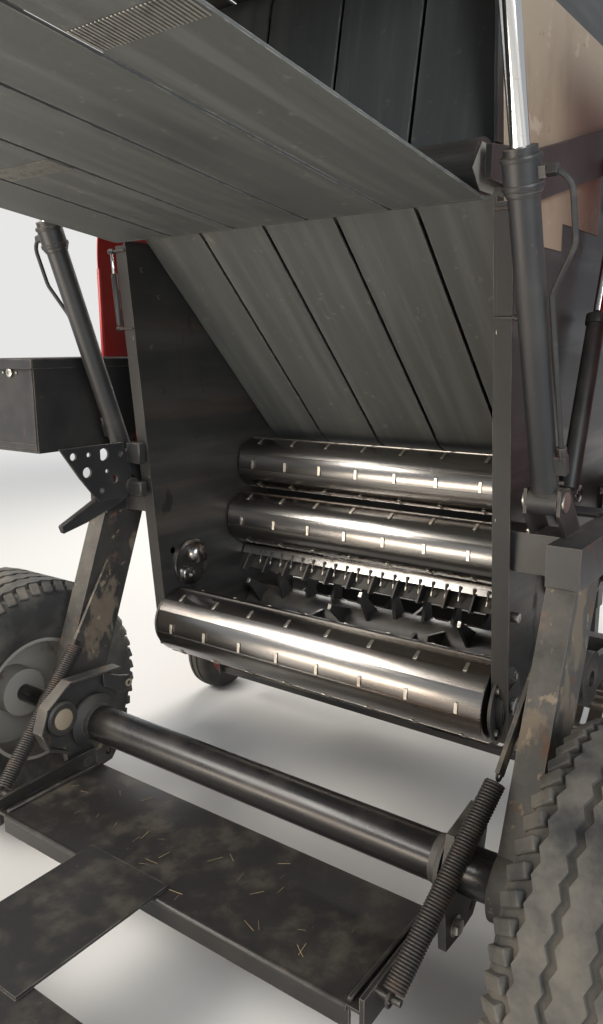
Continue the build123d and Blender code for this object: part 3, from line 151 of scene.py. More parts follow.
print("the world lights with strength", SKY_STRENGTH)

# %% The floor
FLOOR_RADIUS = 40
FADE_START, FADE_END = 4.0, 13.0
bpy.ops.mesh.primitive_circle_add(vertices=96, radius=FLOOR_RADIUS, fill_type="NGON", location=(0, 0, 0))
floor = bpy.context.object
floor.name = "floor"
ground = bpy.data.materials.new("pale_floor")
ground.use_nodes = True
tree = ground.node_tree
tree.nodes.clear()
matte = tree.nodes.new("ShaderNodeBsdfDiffuse")
matte.inputs["Color"].default_value = (0.62, 0.61, 0.59, 1.0)
far = tree.nodes.new("ShaderNodeEmission")
far.inputs["Color"].default_value = PALE
place = tree.nodes.new("ShaderNodeTexCoord")
length = tree.nodes.new("ShaderNodeVectorMath")
length.operation = "LENGTH"
tree.links.new(place.outputs["Object"], length.inputs[0])
fade = tree.nodes.new("ShaderNodeMapRange")
fade.interpolation_type = "SMOOTHSTEP"
fade.inputs["From Min"].default_value = FADE_START
fade.inputs["From Max"].default_value = FADE_END
tree.links.new(length.outputs["Value"], fade.inputs["Value"])
blend = tree.nodes.new("ShaderNodeMixShader")
tree.links.new(fade.outputs["Result"], blend.inputs["Fac"])
tree.links.new(matte.outputs[0], blend.inputs[1])
tree.links.new(far.outputs[0], blend.inputs[2])
out = tree.nodes.new("ShaderNodeOutputMaterial")
tree.links.new(blend.outputs[0], out.inputs["Surface"])
floor.data.materials.append(ground)
print("the floor fades out between", FADE_START, "and", FADE_END, "m")


# %% Lamps
def lamp(name, place, aim, size, power, colour):
    """A soft square lamp at a place, turned to aim at a point."""
    data = bpy.data.lights.new(name, "AREA")
    data.shape = "RECTANGLE"
    data.size, data.size_y = size
    data.energy = power
    data.color = colour
    item = bpy.data.objects.new(name, data)
    bpy.context.scene.collection.objects.link(item)
    item.location = place
    item.rotation_euler = (Vector(aim) - Vector(place)).to_track_quat("-Z", "Y").to_euler()
    return item


chamber = at(0.2, 0, 1.3)
lamp("key_lamp", (-5.5, 3.5, 6.0), chamber, (4.0, 3.0), 620, (1.0, 0.95, 0.88))
lamp("fill_lamp", (-4.0, -6.0, 3.5), chamber, (4.0, 4.0), 380, (0.9, 0.95, 1.0))
lamp("front_lamp", (5.5, 3.0, 4.0), chamber, (4.0, 3.0), 420, (1.0, 0.96, 0.9))
lamp("low_lamp", (-3.6, 1.2, 0.7), at(0.4, 0, 0.9), (2.4, 0.7), 60, (1.0, 0.86, 0.7))
print("lamps placed round the chamber at", [round(value, 2) for value in chamber])

# %% [markdown]
# ## Effects that many finishes share
#
# Dust lies on what faces up, paint wears off along edges, and rubbing leaves patches and streaks. Faces
# that look to the rear, such as the walls' rear flanges, get painted shade: they are made darker and dull.
# Each effect could be painted by hand on an unwrapped part. With this many
# parts, one shader group for each effect is quicker and even all over: it gives a mask from 0 to 1, and a
# finish mixes another colour and roughness in by that mask. The masks read object coordinates, so a pattern
# runs on from part to part.

# %% Shader groups
def new_group(name, inputs):
    """An empty group with float or vector inputs and one output called Mask."""
    group = bpy.data.node_groups.new(name, "ShaderNodeTree")
    for label, kind, value in inputs:
        socket = group.interface.new_socket(name=label, in_out="INPUT", socket_type=kind)
        socket.default_value = value
    group.interface.new_socket(name="Mask", in_out="OUTPUT", socket_type="NodeSocketFloat")
    return group, group.nodes.new("NodeGroupInput"), group.nodes.new("NodeGroupOutput")


def stretched_noise(group, source, detail=6.0):
    """Noise on object coordinates, stretched by the group's Stretch and sized by its Scale."""
    coordinates = group.nodes.new("ShaderNodeTexCoord")
    stretch = group.nodes.new("ShaderNodeVectorMath")
    stretch.operation = "MULTIPLY"
    group.links.new(coordinates.outputs["Object"], stretch.inputs[0])
    group.links.new(source.outputs["Stretch"], stretch.inputs[1])
    noise = group.nodes.new("ShaderNodeTexNoise")
    noise.inputs["Detail"].default_value = detail
    noise.inputs["Roughness"].default_value = 0.62
    group.links.new(stretch.outputs[0], noise.inputs["Vector"])
    group.links.new(source.outputs["Scale"], noise.inputs["Scale"])
    return noise


def levelled(group, source, value):
    """Maps a value from Low to High onto 0 to Amount."""
    spread = group.nodes.new("ShaderNodeMapRange")
    spread.interpolation_type = "SMOOTHSTEP"
    group.links.new(value, spread.inputs["Value"])
    group.links.new(source.outputs["Low"], spread.inputs["From Min"])
    group.links.new(source.outputs["High"], spread.inputs["From Max"])
    group.links.new(source.outputs["Amount"], spread.inputs["To Max"])
    return spread


def facing_part(group, axis, none, full):
    """Maps how far a face looks along an axis onto 0 to 1."""
    facing = group.nodes.new("ShaderNodeNewGeometry")
    split = group.nodes.new("ShaderNodeSeparateXYZ")
    group.links.new(facing.outputs["Normal"], split.inputs[0])
    part = group.nodes.new("ShaderNodeMapRange")
    part.inputs["From Min"].default_value = none
    part.inputs["From Max"].default_value = full
    group.links.new(split.outputs[axis], part.inputs["Value"])
    return part


def masked_by(group, spread, where, sink):
    """Puts out the product of two masks."""
    both = group.nodes.new("ShaderNodeMath")
    both.operation = "MULTIPLY"
    group.links.new(spread.outputs["Result"], both.inputs[0])
    group.links.new(where.outputs["Result"], both.inputs[1])
    group.links.new(both.outputs[0], sink.inputs["Mask"])


SOCKETS = [
    ("Scale", "NodeSocketFloat", 3.0), ("Stretch", "NodeSocketVector", (1, 1, 1)),
    ("Low", "NodeSocketFloat", 0.45), ("High", "NodeSocketFloat", 0.65), ("Amount", "NodeSocketFloat", 1.0),
]

# %% Patches, dust and painted shade on rear faces
patches, source, sink = new_group("patches", SOCKETS)
spread = levelled(patches, source, stretched_noise(patches, source).outputs["Fac"])
patches.links.new(spread.outputs["Result"], sink.inputs["Mask"])

settled, source, sink = new_group("settled_dust", SOCKETS)
spread = levelled(settled, source, stretched_noise(settled, source, 8.0).outputs["Fac"])
masked_by(settled, spread, facing_part(settled, "Z", -0.2, 0.9), sink)

# Painted shade: this mask picks out faces that look to the rear, along -x, so that they can be darkened.
rear_shade, source, sink = new_group("rear_face_painted_shade", SOCKETS)
spread = levelled(rear_shade, source, stretched_noise(rear_shade, source).outputs["Fac"])
masked_by(rear_shade, spread, facing_part(rear_shade, "X", -0.6, -0.9), sink)

# %% [markdown]
# Worn edges come from a Bevel node. It gives the normal that a slightly rounded edge would have, and where
# that differs from the face's own normal, there is an edge. Noise breaks the line up.

# %% Worn edges
bare, source, sink = new_group("worn_edges", SOCKETS + [("Radius", "NodeSocketFloat", 0.004)])
rounded = bare.nodes.new("ShaderNodeBevel")
rounded.samples = 4
bare.links.new(source.outputs["Radius"], rounded.inputs["Radius"])
facing = bare.nodes.new("ShaderNodeNewGeometry")
dot = bare.nodes.new("ShaderNodeVectorMath")
dot.operation = "DOT_PRODUCT"
bare.links.new(rounded.outputs["Normal"], dot.inputs[0])
bare.links.new(facing.outputs["Normal"], dot.inputs[1])
edge = bare.nodes.new("ShaderNodeMapRange")
edge.inputs["From Min"].default_value = 0.995
edge.inputs["From Max"].default_value = 0.85
bare.links.new(dot.outputs["Value"], edge.inputs["Value"])
spread = levelled(bare, source, stretched_noise(bare, source).outputs["Fac"])
masked_by(bare, spread, edge, sink)
print("shader groups:", [group.name for group in bpy.data.node_groups])


# %% [markdown]
# ## Finishes
#
# A finish starts from one colour, roughness and metal value. Layers follow: each names a group, the
# group's values, and what shows where its mask is 1. What is the same all over is set on the shader's own
# socket, and only what changes over the surface is linked. A fine bump gives the grain. Stretching its
# noise along a roll would leave rings, as on turned steel.

# %% The finish maker
GRAIN_DEPTH = 0.002


def add_grain(tree, shader, grain, grain_scale, brushed):
    """A fine bump of noise over the whole finish, stretched by brushed."""
    coordinates = tree.nodes.new("ShaderNodeTexCoord")
    stretch = tree.nodes.new("ShaderNodeMapping")
    stretch.inputs["Scale"].default_value = brushed
    noise = tree.nodes.new("ShaderNodeTexNoise")
    noise.inputs["Scale"].default_value = grain_scale
    noise.inputs["Detail"].default_value = 4.0
    bump = tree.nodes.new("ShaderNodeBump")
    bump.inputs["Strength"].default_value = grain
    bump.inputs["Distance"].default_value = GRAIN_DEPTH
    tree.links.new(coordinates.outputs["Object"], stretch.inputs["Vector"])
    tree.links.new(stretch.outputs["Vector"], noise.inputs["Vector"])
    tree.links.new(noise.outputs["Fac"], bump.inputs["Height"])
    tree.links.new(bump.outputs["Normal"], shader.inputs["Normal"])


def finish(name, colour, rough, metal, grain, grain_scale, layers, brushed=(1, 1, 1)):
    """A material built from a base and layers of (group, values, changes)."""
    material = bpy.data.materials.new(name)
    material.use_nodes = True
    tree = material.node_tree
    shader = tree.nodes["Principled BSDF"]
    state = {"Base Color": (*colour, 1.0), "Roughness": rough, "Metallic": metal}
    for label, value in state.items():
        shader.inputs[label].default_value = value
    for group, values, changes in layers:
        mask = tree.nodes.new("ShaderNodeGroup")
        mask.node_tree = bpy.data.node_groups[group]
        for label, value in values.items():
            mask.inputs[label].default_value = value
        for label, value in changes.items():
            mix = tree.nodes.new("ShaderNodeMix")
            is_colour = label == "Base Color"
            mix.data_type = "RGBA" if is_colour else "FLOAT"
            low, high, result = (6, 7, 2) if is_colour else (2, 3, 0)
            tree.links.new(mask.outputs["Mask"], mix.inputs[0])
            before = state[label]
            if isinstance(before, bpy.types.NodeSocket):
                tree.links.new(before, mix.inputs[low])
            else:
                mix.inputs[low].default_value = before
            mix.inputs[high].default_value = (*value, 1.0) if is_colour else value
            state[label] = mix.outputs[result]
    for label, value in state.items():
        if isinstance(value, bpy.types.NodeSocket):
            tree.links.new(value, shader.inputs[label])
    if grain:
        add_grain(tree, shader, grain, grain_scale, brushed)
    return material


# %% Layers that finishes share
def dust(amount, scale=5.0, colour=(0.23, 0.2, 0.155), low=0.35, high=0.7):
    """The dust layer that nearly every finish of a farm machine carries."""
    values = {"Scale": scale, "Low": low, "High": high, "Amount": amount}
    return ("settled_dust", values, {"Base Color": colour, "Roughness": 0.92})


def wear(colour, rough, amount, scale, radius):
    """Paint gone along the edges."""
    values = {"Scale": scale, "Low": 0.38, "High": 0.6, "Amount": amount, "Radius": radius}
    return ("worn_edges", values, {"Base Color": colour, "Roughness": rough})


def marks(colour, rough, scale, low, high, stretch=(1, 1, 1), amount=1.0, metal=None):
    """Patches or streaks of another colour."""
    changes = {"Base Color": colour, "Roughness": rough}
    if metal is not None:
        changes["Metallic"] = metal
    values = {"Scale": scale, "Stretch": stretch, "Low": low, "High": high, "Amount": amount}
    return ("patches", values, changes)


def behind(colour, rough, amount=0.95):
    """Painted shade: faces that look to the rear are made darker, dull and not metallic."""
    values = {"Scale": 4.0, "Low": 0.2, "High": 0.4, "Amount": amount}
    return ("rear_face_painted_shade", values, {"Base Color": colour, "Roughness": rough, "Metallic": 0.0})


# %% [markdown]
# The chamber's sheets are dark and rubbed shiny by hay, with dull smears where crop stuck. The belts are
# grey-green with dust in streaks along their travel. The rolls are bare steel, bright where the bale
# rubs and browned between. Frame parts wear black paint, thin at the edges, under dust and dried mud.

# %% Finishes of this machine
RUST = (0.12, 0.055, 0.03)
MUD = (0.27, 0.205, 0.13)
finishes = {
    "chamber_steel": finish("polished_chamber_sheet", (0.042, 0.041, 0.04), 0.4, 0.55, 0.12, 90, [
        marks((0.12, 0.085, 0.06), 0.3, 1.1, 0.5, 0.72, (0.35, 1.0, 5.0), 0.7),
        marks((0.09, 0.084, 0.078), 0.27, 2.2, 0.45, 0.7, (0.3, 1.0, 3.5), 0.8),
        marks((0.014, 0.013, 0.012), 0.6, 5.0, 0.6, 0.67, (1.6, 1.0, 0.7), 0.85),
        # Painted shade on faces that look to the rear, which keeps the walls' rear flanges dark.
        behind((0.02, 0.019, 0.018), 0.62),
        wear((0.22, 0.2, 0.18), 0.35, 0.6, 12, 0.0025),
        dust(0.3),
    ], (0.5, 1.0, 3.0)),
    "frame_black": finish("black_frame_paint", (0.018, 0.018, 0.019), 0.4, 0.0, 0.1, 260, [
        marks((0.045, 0.042, 0.038), 0.62, 3.0, 0.45, 0.75, amount=0.8),
        wear((0.16, 0.12, 0.09), 0.55, 0.8, 14, 0.004),
        marks(RUST, 0.8, 11.0, 0.63, 0.72, amount=0.8),
        dust(0.45),
    ]),
    "axle_black": finish("black_axle_paint", (0.012, 0.011, 0.011), 0.27, 0.0, 0.06, 200, [
        marks((0.035, 0.024, 0.02), 0.4, 2.6, 0.5, 0.7, (6, 0.5, 6), 0.6),
        dust(0.16, 6.0, low=0.45, high=0.8),
    ]),
    "muddy_frame": finish("muddy_frame_paint", (0.024, 0.023, 0.022), 0.5, 0.0, 0.35, 120, [
        marks((0.15, 0.115, 0.08), 0.95, 5.5, 0.54, 0.6, (1.0, 1.0, 0.6), 0.85),
        marks(MUD, 0.95, 26.0, 0.62, 0.68, (1.0, 1.0, 0.8), 0.7),
        marks(RUST, 0.85, 13.0, 0.57, 0.68, amount=0.9),
        wear((0.16, 0.12, 0.09), 0.55, 0.7, 14, 0.004),
        dust(0.7),
    ]),
    "ramp_steel": finish("dirty_ramp_plate", (0.022, 0.02, 0.0185), 0.4, 0.1, 0.2, 160, [
        marks((0.045, 0.04, 0.036), 0.5, 1.4, 0.45, 0.8, amount=0.7),
        marks(RUST, 0.8, 7.0, 0.68, 0.76, amount=0.6),
        wear((0.2, 0.18, 0.16), 0.4, 0.8, 10, 0.004),
        dust(0.28, 9.0, (0.2, 0.165, 0.12), 0.45, 0.75),
        marks(MUD, 0.95, 70.0, 0.7, 0.74, amount=0.7),
    ]),
    "tan_liner": finish("scuffed_tan_liner", (0.3, 0.235, 0.165), 0.55, 0.0, 0.15, 120, [
        marks((0.17, 0.12, 0.08), 0.7, 3.0, 0.45, 0.7, (1, 1, 0.5), 0.8),
        marks((0.42, 0.35, 0.26), 0.6, 14.0, 0.6, 0.68, amount=0.7),
        marks(RUST, 0.8, 20.0, 0.66, 0.74, amount=0.7),
    ]),
    "lacing_steel": finish("belt_lacing_wire", (0.34, 0.32, 0.28), 0.5, 0.7, 0.0, 100, [
        marks((0.16, 0.15, 0.13), 0.7, 40.0, 0.45, 0.7, amount=0.7),
    ]),
    "shield_red": finish("red_shield_paint", (0.42, 0.018, 0.013), 0.32, 0.0, 0.05, 60, [
        marks((0.5, 0.06, 0.04), 0.5, 2.0, 0.5, 0.8, amount=0.6),
        wear((0.1, 0.06, 0.045), 0.6, 0.7, 12, 0.003),
        dust(0.6, 3.0),
    ]),
    "roll_steel": finish("hay_polished_roll", (0.3, 0.288, 0.275), 0.25, 1.0, 0.03, 30, [
        marks((0.16, 0.135, 0.115), 0.31, 2.4, 0.45, 0.72, (3.0, 0.3, 3.0), 0.7),
        marks((0.36, 0.2, 0.115), 0.28, 1.3, 0.5, 0.74, (6.0, 0.2, 6.0), 0.6),
        marks((0.46, 0.45, 0.42), 0.22, 9.0, 0.5, 0.72, (3.0, 0.12, 3.0), 0.4),
        wear((0.5, 0.47, 0.43), 0.25, 0.6, 10, 0.002),
    ], (0.4, 30.0, 0.4)),
    "carrier_steel": finish("dull_carrier_roll", (0.12, 0.115, 0.11), 0.42, 0.8, 0.08, 120, [
        marks((0.22, 0.2, 0.18), 0.34, 4.0, 0.5, 0.7, (5, 0.3, 5), 0.8),
        dust(0.5, 8.0),
    ]),
    "belt_rubber": finish("dusty_belt_rubber", (0.072, 0.075, 0.071), 0.66, 0.0, 0.22, 700, [
        marks((0.108, 0.111, 0.104), 0.78, 2.4, 0.42, 0.72, (0.5, 9.0, 0.5), 0.9),
        marks((0.045, 0.047, 0.045), 0.55, 1.6, 0.52, 0.78, (1, 1.6, 1), 0.8),
        marks((0.2, 0.19, 0.16), 0.9, 26.0, 0.62, 0.72, amount=0.5),
        wear((0.36, 0.345, 0.3), 0.85, 0.9, 30, 0.0025),
    ]),
    "rod_chrome": finish("chromed_rod", (0.78, 0.76, 0.73), 0.1, 1.0, 0.0, 100, [
        marks((0.5, 0.42, 0.34), 0.3, 8.0, 0.6, 0.75, (1, 1, 4), 0.6),
    ]),
    "tyre_rubber": finish("dusty_tyre_rubber", (0.028, 0.027, 0.026), 0.78, 0.0, 0.3, 300, [
        marks((0.13, 0.117, 0.096), 0.95, 3.5, 0.4, 0.72, amount=0.8),
        dust(0.5, 7.0, (0.2, 0.175, 0.14)),
    ]),
    "rim_paint": finish("dull_rim_paint", (0.27, 0.255, 0.225), 0.5, 0.0, 0.1, 150, [
        marks(RUST, 0.85, 8.0, 0.6, 0.7, amount=0.8),
        wear((0.2, 0.12, 0.07), 0.7, 0.8, 16, 0.004),
        dust(0.75, 6.0),
        marks((0.18, 0.15, 0.11), 0.95, 3.0, 0.5, 0.7, amount=0.6),
    ]),
    "tine_steel": finish("pickup_tine_steel", (0.24, 0.21, 0.18), 0.38, 0.9, 0.1, 200, [
        marks(RUST, 0.75, 9.0, 0.5, 0.7, amount=0.7, metal=0.2),
        dust(0.5),
    ]),
    "cast_grey": finish("black_gear_casting", (0.03, 0.03, 0.031), 0.6, 0.0, 0.5, 90, [
        wear((0.14, 0.12, 0.1), 0.6, 0.7, 15, 0.004),
        dust(0.9),
    ]),
    "spring_steel": finish("rusty_spring_steel", (0.05, 0.045, 0.041), 0.5, 0.5, 0.2, 250, [
        marks((0.075, 0.045, 0.03), 0.8, 14.0, 0.5, 0.66, amount=0.7, metal=0.1),
        marks(MUD, 0.95, 7.0, 0.62, 0.68, amount=0.5, metal=0.0),
    ]),
    "zinc_bolt": finish("zinc_plated_bolt", (0.5, 0.48, 0.43), 0.35, 1.0, 0.0, 100, [
        marks(RUST, 0.8, 40.0, 0.55, 0.7, amount=0.8, metal=0.1),
        dust(0.4),
    ]),
    "weld_steel": finish("polished_weld", (0.6, 0.55, 0.48), 0.3, 0.9, 0.1, 300, [
        marks((0.3, 0.24, 0.19), 0.5, 30.0, 0.5, 0.7, amount=0.7),
    ]),
    "lamp_red": finish("red_lamp_lens", (0.32, 0.006, 0.006), 0.18, 0.0, 0.05, 500, [dust(0.6)]),
    "straw": finish("straw", (0.26, 0.2, 0.115), 0.85, 0.0, 0.0, 100, [
        marks((0.13, 0.095, 0.055), 0.85, 12.0, 0.4, 0.6, amount=0.9),
    ]),
    "hose_rubber": finish("hose_rubber", (0.02, 0.02, 0.02), 0.55, 0.0, 0.15, 500, [
        marks((0.1, 0.09, 0.075), 0.9, 12.0, 0.5, 0.7, amount=0.6),
    ]),
}
print(len(finishes), "finishes")

# %% [markdown]
# ## Dressing the frame's own parts
#
# A frame part whose shape is right keeps its mesh and gets the finish of its slot. A few parts differ from
# their slot's finish: the axle tube is glossier, the legs and the spring straps are muddy, the rolls that
# carry the belts are dull, and the ramp is a walked-on plate.

# %% Dress the frame
special = {
    "axle": "axle_black", "ramp": "ramp_steel", "frame_legs": "muddy_frame", "feed_floor": "frame_black",
    "belt_rolls": "carrier_steel", "gate_rolls": "carrier_steel",
    "spring_strap_left": "muddy_frame", "spring_strap_right": "muddy_frame",
}
slot_of = {item["node"]: item["material_slot"] for item in frame["record"]["subparts"]}


def dress(piece, finish_name):
    """Gives a piece one finish all over."""
    piece.data.materials.clear()
    piece.data.materials.append(finishes[finish_name])


for name, node in frame["nodes"].items():
    dress(node, special.get(name, slot_of[name]))
print("dressed", len(slot_of), "frame parts")

# %% [markdown]
# ## Working with operators
#
# Every piece below is modelled as one would by hand: a primitive is added where it belongs, shaped in edit
# mode, copied where it repeats, and joined. These few helpers hold the steps that come back each time.
# Before an operator runs, nothing else may be selected, and a finished piece has its place in its mesh.

# %% Selecting, and going in and out of edit mode
def rest():
    """Leaves edit mode with nothing selected."""
    if bpy.context.object and bpy.context.object.mode != "OBJECT":
        bpy.ops.object.mode_set(mode="OBJECT")
    bpy.ops.object.select_all(action="DESELECT")


def take(piece):
    """Makes one piece the only selected and active one."""
    rest()
    piece.select_set(True)
    bpy.context.view_layer.objects.active = piece
    return piece


def settle():
    """Moves the active piece's place, turn and size into its mesh."""
    piece = take(bpy.context.object)
    bpy.ops.object.transform_apply(location=True, rotation=True, scale=True)
    return piece


def edit(mode="EDGE"):
    """Goes into edit mode with everything selected."""
    bpy.ops.object.mode_set(mode="EDIT")
    bpy.ops.mesh.select_mode(type=mode)
    bpy.ops.mesh.select_all(action="SELECT")


def turn_outwards():
    """Turns all faces of the mesh being edited outwards, and leaves edit mode."""
    bpy.ops.mesh.select_all(action="SELECT")
    bpy.ops.mesh.normals_make_consistent(inside=False)
    bpy.ops.object.mode_set(mode="OBJECT")


def soften(width, segments=2, sharpness=50):
    """Rounds the active piece's sharp edges."""
    edit()
    bpy.ops.mesh.select_all(action="DESELECT")
    bpy.ops.mesh.edges_select_sharp(sharpness=math.radians(sharpness))
    bpy.ops.mesh.bevel(offset=width, segments=segments, affect="EDGES", clamp_overlap=True)
    bpy.ops.object.mode_set(mode="OBJECT")


# %% [markdown]
# Most pieces of a farm machine are one of four kinds: a rolled block, a round bar, a turned shape and a
# plate cut to an outline. Each kind starts from one primitive. A turned shape is a profile spun round an
# axis, where hand-placed rings would drift, and a plate is one face extruded to its thickness.

# %% The four kinds of shape
def facing(along):
    """The matrix that turns a piece's own Z axis to a direction."""
    return Vector(along).to_track_quat("Z", "Y").to_matrix().to_4x4()


def block(size, place, turn=(0, 0, 0), edge=0.002):
    """A box with rounded edges."""
    rest()
    bpy.ops.mesh.primitive_cube_add(size=1, location=place, rotation=turn, scale=size)
    piece = settle()
    soften(edge, 1)
    return piece


def drum(radius, depth, place, along=LEFT, sides=32, edge=0.003):
    """A round bar with softened rims, its axis along a direction."""
    rest()
    turn = Vector(along).to_track_quat("Z", "Y").to_euler()
    bpy.ops.mesh.primitive_cylinder_add(
        vertices=sides, radius=radius, depth=depth, location=place, rotation=turn,
    )
    piece = settle()
    if edge:
        soften(edge, 2, 60)
    return piece


def spun(profile, place, along=LEFT, steps=48):
    """A turned shape: the profile's (radius, height) points spun round an axis through a place."""
    rest()
    bpy.ops.mesh.primitive_circle_add(vertices=len(profile), radius=1, fill_type="NOTHING")
    piece = bpy.context.object
    for vertex, (radius, height) in zip(piece.data.vertices, profile):
        vertex.co = (radius, 0, height)
    edit()
    bpy.ops.mesh.spin(steps=steps, angle=2 * math.pi, center=(0, 0, 0), axis=(0, 0, 1))
    bpy.ops.mesh.select_all(action="SELECT")
    bpy.ops.mesh.remove_doubles(threshold=0.00002)
    turn_outwards()
    piece.matrix_world = Matrix.Translation(place) @ facing(along)
    return settle()


def plate(outline, y_low, y_high, edge=0.0015):
    """A flat plate cut to an outline of (x, z) points in the side view."""
    rest()
    bpy.ops.mesh.primitive_circle_add(vertices=len(outline), radius=1, fill_type="NGON")
    piece = bpy.context.object
    for vertex, (x, z) in zip(piece.data.vertices, outline):
        vertex.co = at(x, y_low, z)
    edit("FACE")
    bpy.ops.mesh.extrude_region_move(TRANSFORM_OT_translate={"value": (0, y_high - y_low, 0)})
    turn_outwards()
    soften(edge, 1)
    return piece


# %% Copying, joining and finishing
def twin(piece, move):
    """A copy with its own mesh, moved by a matrix."""
    copy = piece.copy()
    copy.data = piece.data.copy()
    copy.data.transform(move)
    bpy.context.scene.collection.objects.link(copy)
    return copy


def joined(parts):
    """Several parts made one mesh."""
    take(parts[0])
    for part in parts:
        part.select_set(True)
    bpy.ops.object.join()
    return bpy.context.object


def around(place, axis, angle):
    """The matrix of a turn about an axis through a place."""
    shift = Matrix.Translation(place)
    return shift @ Matrix.Rotation(angle, 4, axis) @ shift.inverted()


def finished(piece, name, body, finish_name, angle=40):
    """Names a piece, smooths it, dresses it and lets it ride on its body."""
    take(piece)
    bpy.ops.object.shade_smooth_by_angle(angle=math.radians(angle))
    piece.name = name
    piece.data.name = name
    dress(piece, finish_name)
    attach(piece, body)
    print(name, "rides on", body, "with", len(piece.data.polygons), "faces")
    return piece


def small_steel(parts, name, body):
    """Joins small bare steel parts into one finished piece."""
    return finished(joined(parts), name, body, "zinc_bolt")


# %% [markdown]
# ## The steel rolls
#
# Each roll is a drum with six wear strips along it. The strips are held by short welds laid across them
# every 150 mm, which hay has polished into pale dashes. A strip follows the drum's curve, so it is the
# strip's section spun a short way round the roll's own axis. One strip with its welds is modelled and then
# copied round the drum.

# %% Floor, starter and stripper roll
ROLL_LENGTH = 1.19
STUB_LENGTH = 1.296
STUB_RADIUS = 0.025
STRIP_COUNT = 6
STRIP_WIDTH = 0.04
STRIP_HEIGHT = 0.003
STRIP_SEAT = 0.002
FIRST_STRIP = 117
WELD_COUNT = 8
WELD_PITCH = 0.15
WELD_SIZE = (STRIP_WIDTH * 0.8, 0.011, 0.0026)
WELD_LIFT = 0.0025


def wear_strip(centre, radius):
    """One wear strip on top of a drum, spun a short way round it from its section."""
    rest()
    place = centre + UP * (radius + 0.0012)
    bpy.ops.mesh.primitive_plane_add(size=1, location=place, rotation=(0, math.pi / 2, 0))
    strip = settle()
    for vertex in strip.data.vertices:
        vertex.co.z = centre.z + radius + (STRIP_HEIGHT if vertex.co.z > centre.z + radius else -STRIP_SEAT)
        vertex.co.y = (ROLL_LENGTH / 2 - 0.002) * (1 if vertex.co.y > 0 else -1)
    sweep = STRIP_WIDTH / radius
    edit("FACE")
    bpy.ops.mesh.spin(steps=6, angle=sweep, center=centre, axis=LEFT)
    turn_outwards()
    strip.data.transform(around(centre, LEFT, -sweep / 2))
    return strip


def steel_roll(node, x, z, radius):
    """One chamber roll with its strips and welds."""
    centre = at(x, 0, z)
    body = drum(radius, ROLL_LENGTH, centre, LEFT, 96, 0.004)
    parts = [body, drum(STUB_RADIUS, STUB_LENGTH, centre, LEFT, 32)]
    strip = wear_strip(centre, radius)
    top = centre + UP * (radius + WELD_LIFT)
    places = [top + LEFT * ((index - (WELD_COUNT - 1) / 2) * WELD_PITCH) for index in range(WELD_COUNT)]
    welds = [block(WELD_SIZE, place, edge=0.001) for place in places]
    beads = []
    for index in range(STRIP_COUNT):
        move = around(centre, LEFT, math.radians(90 - (FIRST_STRIP + 360 / STRIP_COUNT * index)))
        parts.append(twin(strip, move))
        beads += [twin(weld, move) for weld in welds]
    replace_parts(finished(joined(parts), node + "_drum", node, "roll_steel", 25), node)
    finished(joined(beads), node + "_welds", node, "weld_steel")
    for used in [strip] + welds:
        bpy.data.objects.remove(used)


for node, (x, z, radius) in TURNING_ROLLS.items():
    steel_roll(node, x, z, radius)

# %% [markdown]
# ## The belts
#
# Five endless belts run over the rolls, and the raised tailgate stretches them into a roof. Their path is
# worked out first, as a fitter would with string: a straight run touches two rolls, and its slope follows
# from their places and radii. A roll's last number says on which side of it the belt passes. The rolls in
# the tailgate are given where they are with it closed, and turned up about the hinge.

# %% Belt path
BELT = 0.006
HALF = BELT / 2
BELT_COUNT = 5
BELT_GAP = 0.0125
BELTS_ACROSS = 1.19
BELT_WIDTH = (BELTS_ACROSS - (BELT_COUNT - 1) * BELT_GAP) / BELT_COUNT
BELT_PITCH = BELT_WIDTH + BELT_GAP
HINGE = (0.1, 2.62)
HINGE_ROLL = 0.06
GATE_TURN = math.radians(71)
GATE_ROLLS = {"low": (-0.2, 0.72), "rear": (-0.96, 1.18), "top": (-0.64, 2.33)}
HOLD_DOWN = 0.045
HOLD_DOWN_AHEAD = 0.03


def raised(x, z):
    """Where a point of the closed tailgate is when the tailgate is up."""
    dx, dz = x - HINGE[0], z - HINGE[1]
    return (
        HINGE[0] + dx * math.cos(GATE_TURN) + dz * math.sin(GATE_TURN),
        HINGE[1] - dx * math.sin(GATE_TURN) + dz * math.cos(GATE_TURN),
    )


def runs(rolls):
    """Slope, start and end of each straight run over rolls given as (x, z, radius, side)."""
    found = []
    for (x1, z1, r1, s1), (x2, z2, r2, s2) in zip(rolls, rolls[1:]):
        reach = math.hypot(x2 - x1, z2 - z1)
        slope = math.atan2(z2 - z1, x2 - x1) - math.asin((s2 * r2 - s1 * r1) / reach)
        across = (-math.sin(slope), math.cos(slope))
        start = (x1 - s1 * r1 * across[0], z1 - s1 * r1 * across[1])
        end = (x2 - s2 * r2 * across[0], z2 - s2 * r2 * across[1])
        found.append((slope, start, end))
    return found


